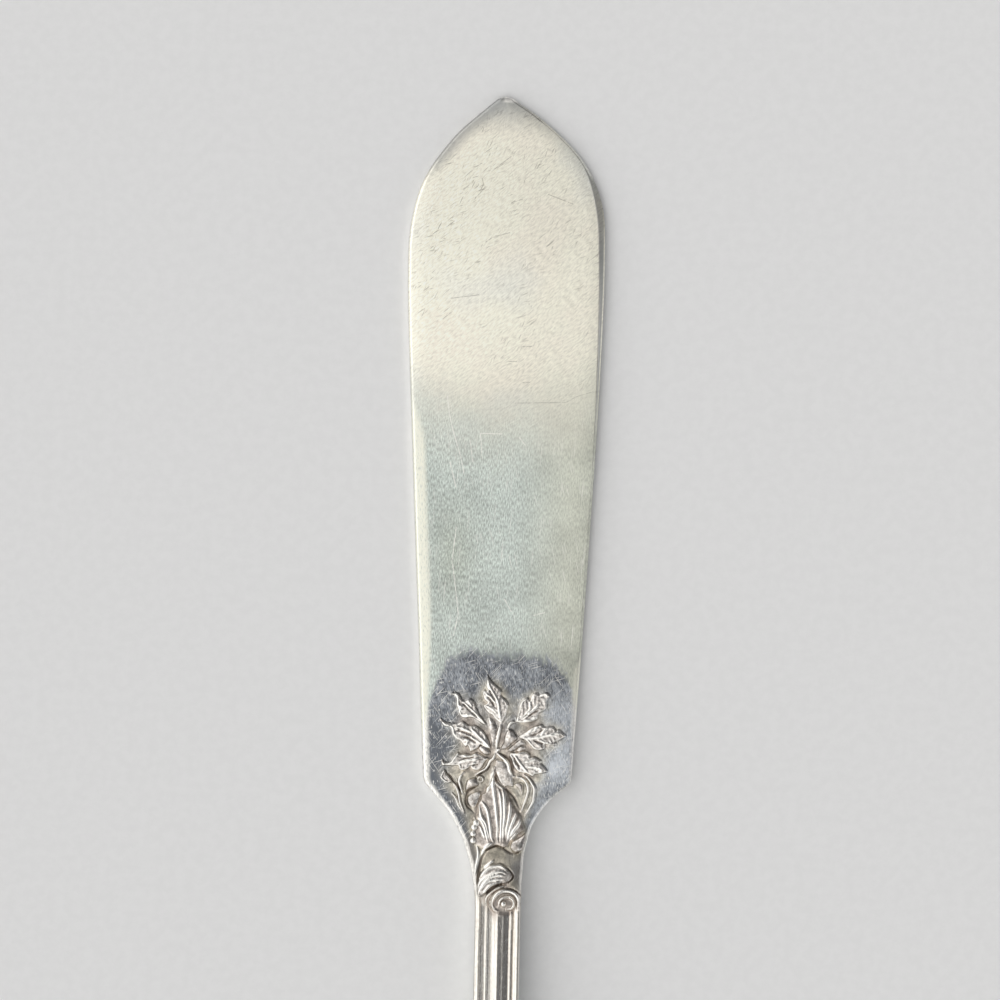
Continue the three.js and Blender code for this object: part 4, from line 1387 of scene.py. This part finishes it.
def silverFront():
    material = bpy.data.materials.new("silverFrontFinish")
    tree = newTree(material)
    place = node(tree, "ShaderNodeTexCoord").outputs["Object"]
    across, along, _ = node(tree, "ShaderNodeSeparateXYZ", {0: place}).outputs
    body, vein, cut, hollow, crowd, ground = (
        mark(tree, name) for name in ("body", "vein", "cut", "hollow", "crowd", "ground")
    )
    lightAndShade, smudge, stem, band, tipShade, glint = (
        mark(tree, name) for name in ("lightAndShade", "smudge", "stem", "band", "tipShade", "glint")
    )
    cloud, patchy, fine, crumple, cluster, ripple, soft = (
        noise(tree, place, *grain[name])
        for name in ("cloud", "patchy", "fine", "crumple", "cluster", "ripple", "soft")
    )
    satinGrain, coolGrain, speckle, mottle, streak = (
        drawnNoise(tree, place, *grain[name]) for name in ("satin", "cool", "speckle", "mottle", "streak")
    )
    flecks, hair, scuffs = (scratches(tree, place, grain[name]) for name in ("flecks", "hair", "scuffs"))
    ornate = most(tree, body, crowd)

    # the upper blade
    satin = tinted(tree, followed(tree, cloud, "blush"), silver["cream"], silver["blush"])
    satin = tinted(tree, followed(tree, patchy, "ash"), satin, silver["ash"])
    # painted light: the satin lighter on the left side and dimmer going down the blade; its grain is a random
    # tone
    for value, name in ((satinGrain, "satinTone"), (across, "paintedSideLight"), (along, "paintedDimming")):
        satin = lit(tree, satin, followed(tree, value, name))
    clusters = followed(tree, cluster, "fleckClusters")
    nicked = product(tree, flecks, clusters, followed(tree, along, "fleckHeights"))
    satin = tinted(tree, nicked, satin, silver["nick"])
    dark = scarred(tree, place, scars["dark"], scars["darkHalf"])
    satin = tinted(tree, product(tree, dark, followed(tree, fine, "darkScars")), satin, silver["nick"])

    # the lower blade, its greyer tone a painted reflection, parted from the upper along a bowed and clouded
    # line
    coolReflection = tinted(tree, followed(tree, across, "warmSide"), silver["cool"], silver["coolWarm"])
    coolReflection = tinted(tree, product(tree, smudge, silver["smudged"]), coolReflection, silver["smudge"])
    wave = followed(tree, coolGrain, "coolWave")
    coolReflection = lit(tree, coolReflection, stepped(tree, wave, followed(tree, across, "coolPlay"), 1.0))
    coolReflection = lit(tree, coolReflection, followed(tree, ripple, "coolTone"))
    coolReflection = tinted(tree, product(tree, hair, silver["haired"]), coolReflection, silver["crest"])
    bowed = stepped(tree, product(tree, across, across), silver["bow"], along)
    reach = stepped(tree, cloud, silver["clouded"], bowed)
    colour = tinted(tree, followed(tree, reach, "lowerBlade"), satin, coolReflection)
    bright = scarred(tree, place, scars["bright"], scars["brightHalf"])
    colour = tinted(tree, product(tree, bright, followed(tree, fine, "brightScars")), colour, silver["crest"])

    # the tarnished ground under its ragged arch, with painted light and shade over it, and the painted
    # highlight bands along the edges
    speckled = stepped(tree, speckle, silver["speckleShare"], silver["speckleStart"])
    uneven = stepped(tree, centred(tree, soft), silver["softShare"], maths(tree, "ADD", mottle, speckled))
    # the painted light and shade sets how light the tarnish is
    tarnish = tinted(tree, maths(tree, "ADD", lightAndShade, uneven), silver["groundDark"], silver["groundLight"])
    tarnish = tinted(tree, product(tree, scuffs, silver["scuffed"]), tarnish, silver["crest"])
    tarnish = tinted(tree, followed(tree, along, "neck"), tarnish, silver["neckGround"])
    ragged = stepped(tree, centred(tree, mottle), silver["raggedMottle"], centred(tree, speckle))
    broken = stepped(tree, ragged, silver["raggedShare"], ground)
    colour = tinted(tree, followed(tree, broken, "groundBorder"), colour, tarnish)
    bandTone = tinted(tree, ground, silver["band"], silver["crest"])
    colour = tinted(tree, product(tree, band, followed(tree, speckle, "bandWear")), colour, bandTone)
    yellowed = product(tree, crowd, followed(tree, cloud, "yellowing"), silver["yellowed"])
    colour = tinted(tree, yellowed, colour, silver["yellowing"])

    # the stem, then the ornament with its hollows, its crests worn bright with a painted highlight, and its
    # cuts darkened with painted shade, then the painted shade on the point and the right bevel, and the
    # painted glints
    stemWear = followed(tree, stepped(tree, speckle, silver["stemSpeckle"], streak), "stemWear")
    colour = tinted(tree, stem, colour, tinted(tree, stemWear, silver["stem"], silver["stemWorn"]))
    leafWear = followed(tree, stepped(tree, mottle, silver["leafMottle"], fine), "leafWear")
    colour = tinted(tree, body, colour, tinted(tree, leafWear, silver["leaf"], silver["leafLight"]))
    colour = tinted(tree, product(tree, hollow, silver["hollowed"]), colour, silver["hollow"])
    colour = lit(tree, colour, stepped(tree, followed(tree, crumple, "crumple"), ornate, 1.0))
    colour = tinted(tree, followed(tree, vein, "crest"), colour, silver["crest"])
    colour = tinted(tree, product(tree, cut, silver["shadedCutIn"]), colour, silver["cut"])
    colour = tinted(tree, product(tree, tipShade, silver["shaded"]), colour, silver["shade"])
    colour = tinted(tree, glint, colour, silver["crest"])

    gloss = mapped(tree, ground, 0, 1, silver["satinRoughness"], silver["groundRoughness"])
    gloss = stepped(tree, stem, silver["stemRoughness"] - silver["satinRoughness"], gloss)
    gloss = stepped(tree, body, silver["leafRoughness"] - silver["groundRoughness"], gloss)
    gloss = stepped(tree, hollow, silver["hollowRoughness"], gloss)
    relief = stepped(tree, coolGrain, silver["coolDepth"], satinGrain)
    relief = stepped(tree, most(tree, hair, flecks), silver["scratchDepth"], relief)
    relief = stepped(tree, product(tree, crumple, ornate), silver["crumpleDepth"], relief)
    bareMetal(tree, colour, gloss, relief)
    return material


def silverBack():
    material = bpy.data.materials.new("silverBackFinish")
    tree = newTree(material)
    place = node(tree, "ShaderNodeTexCoord").outputs["Object"]
    cloud = noise(tree, place, *grain["backCloud"])
    plain = drawnNoise(tree, place, *grain["back"])
    hair, nicks = (scratches(tree, place, grain[name]) for name in ("backHair", "backNicks"))
    colour = tinted(tree, followed(tree, cloud, "backCool"), silver["cream"], silver["cool"])
    colour = lit(tree, colour, followed(tree, plain, "backTone"))
    colour = tinted(tree, product(tree, hair, silver["backHaired"]), colour, silver["crest"])
    colour = tinted(tree, product(tree, nicks, silver["backNicked"]), colour, silver["nick"])
    colour = tinted(tree, mark(tree, "edge"), colour, silver["crest"])
    gloss = followed(tree, cloud, "backRoughness")
    relief = stepped(tree, most(tree, hair, nicks), silver["scratchDepth"], plain)
    bareMetal(tree, colour, gloss, relief)
    return material


scar = scarGroup()

front = makeFront()
front.data.materials.append(silverFront())
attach(front, "root")
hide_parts("silver_plate_front", "nickel_silver_blank")

back = makeBack()
back.data.materials.append(silverBack())
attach(back, "root")
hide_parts("silver_plate_back")
print("silver finished")

studio = {
    "floorSize": 20.0,
    "floorColour": (0.82, 0.825, 0.835),
    "floorFibre": 0.97,                     # its fibres are this much darker
    "floorNoise": (900.0, 3.0, 0.6),
    "floorSpread": (0.3, 0.7),
    "floorRoughness": 0.9,
    "floorSpecular": 0.2,
    "room": (0.15, 0.15, 0.155),
    "lights": [                             # axis, where it starts and is full, colour
        ((-0.55, -0.5, 0.67), (0.48, 0.7), (1.16, 1.15, 1.12)),     # broad, overhead
        ((-0.97, 0.1, 0.22), (0.2, 0.6), (1.4, 1.38, 1.35)),        # brighter, on the left
        ((0.9, -0.38, 0.22), (0.8, 0.93), (1.0, 1.0, 1.0)),         # narrow, low on the right
    ],
}


def makeFloor():
    half = studio["floorSize"] / 2
    corners = [(-half, -half, 0), (half, -half, 0), (half, half, 0), (-half, half, 0)]
    mesh = bpy.data.meshes.new("floor")
    mesh.from_pydata(corners, [], [(0, 1, 2, 3)])
    floor = bpy.data.objects.new("floor", mesh)
    bpy.context.scene.collection.objects.link(floor)
    material = bpy.data.materials.new("paleFloor")
    tree = newTree(material)
    place = node(tree, "ShaderNodeTexCoord").outputs["Object"]
    fibre = mapped(tree, noise(tree, place, *studio["floorNoise"]), *studio["floorSpread"])
    pale = studio["floorColour"]
    darker = tuple(studio["floorFibre"] * c for c in pale)
    shader = node(tree, "ShaderNodeBsdfPrincipled", {
        "Base Color": tinted(tree, fibre, pale, darker),
        "Roughness": studio["floorRoughness"],
        "Specular IOR Level": studio["floorSpecular"],
    })
    node(tree, "ShaderNodeOutputMaterial", {"Surface": shader.outputs[0]})
    mesh.materials.append(material)


# a plain soft studio dome, bright overhead and to the left, dim to the right
def makeLight():
    world = bpy.data.worlds.new("studioDome")
    bpy.context.scene.world = world
    tree = newTree(world)
    direction = node(tree, "ShaderNodeTexCoord").outputs["Generated"]
    colour = studio["room"]
    for axis, spread, light in studio["lights"]:
        facing = node(tree, "ShaderNodeVectorMath", {0: direction, 1: axis}, operation="DOT_PRODUCT")
        colour = tinted(tree, mapped(tree, facing.outputs["Value"], *spread), colour, light)
    sky = node(tree, "ShaderNodeBackground", {"Color": colour, "Strength": 1.0})
    node(tree, "ShaderNodeOutputWorld", {"Surface": sky.outputs[0]})


view = {"centre": (-0.17, 44.2), "frameWidth": 111.0, "distance": 1000.0, "lean": 1.005, "sensor": 36.0}


def makeCamera():
    lens = bpy.data.cameras.new("camera")
    lens.sensor_width = view["sensor"]
    lens.lens = view["sensor"] * view["distance"] / view["frameWidth"]
    camera = bpy.data.objects.new("camera", lens)
    camera.location = [v * mm for v in (*view["centre"], view["distance"] + knife["bladeThick"])]
    camera.rotation_euler = (0, 0, math.radians(view["lean"]))
    bpy.context.scene.collection.objects.link(camera)
    bpy.context.scene.camera = camera


makeFloor()
makeLight()
makeCamera()
bpy.context.scene.view_settings.view_transform = "Standard"
print("studio set")
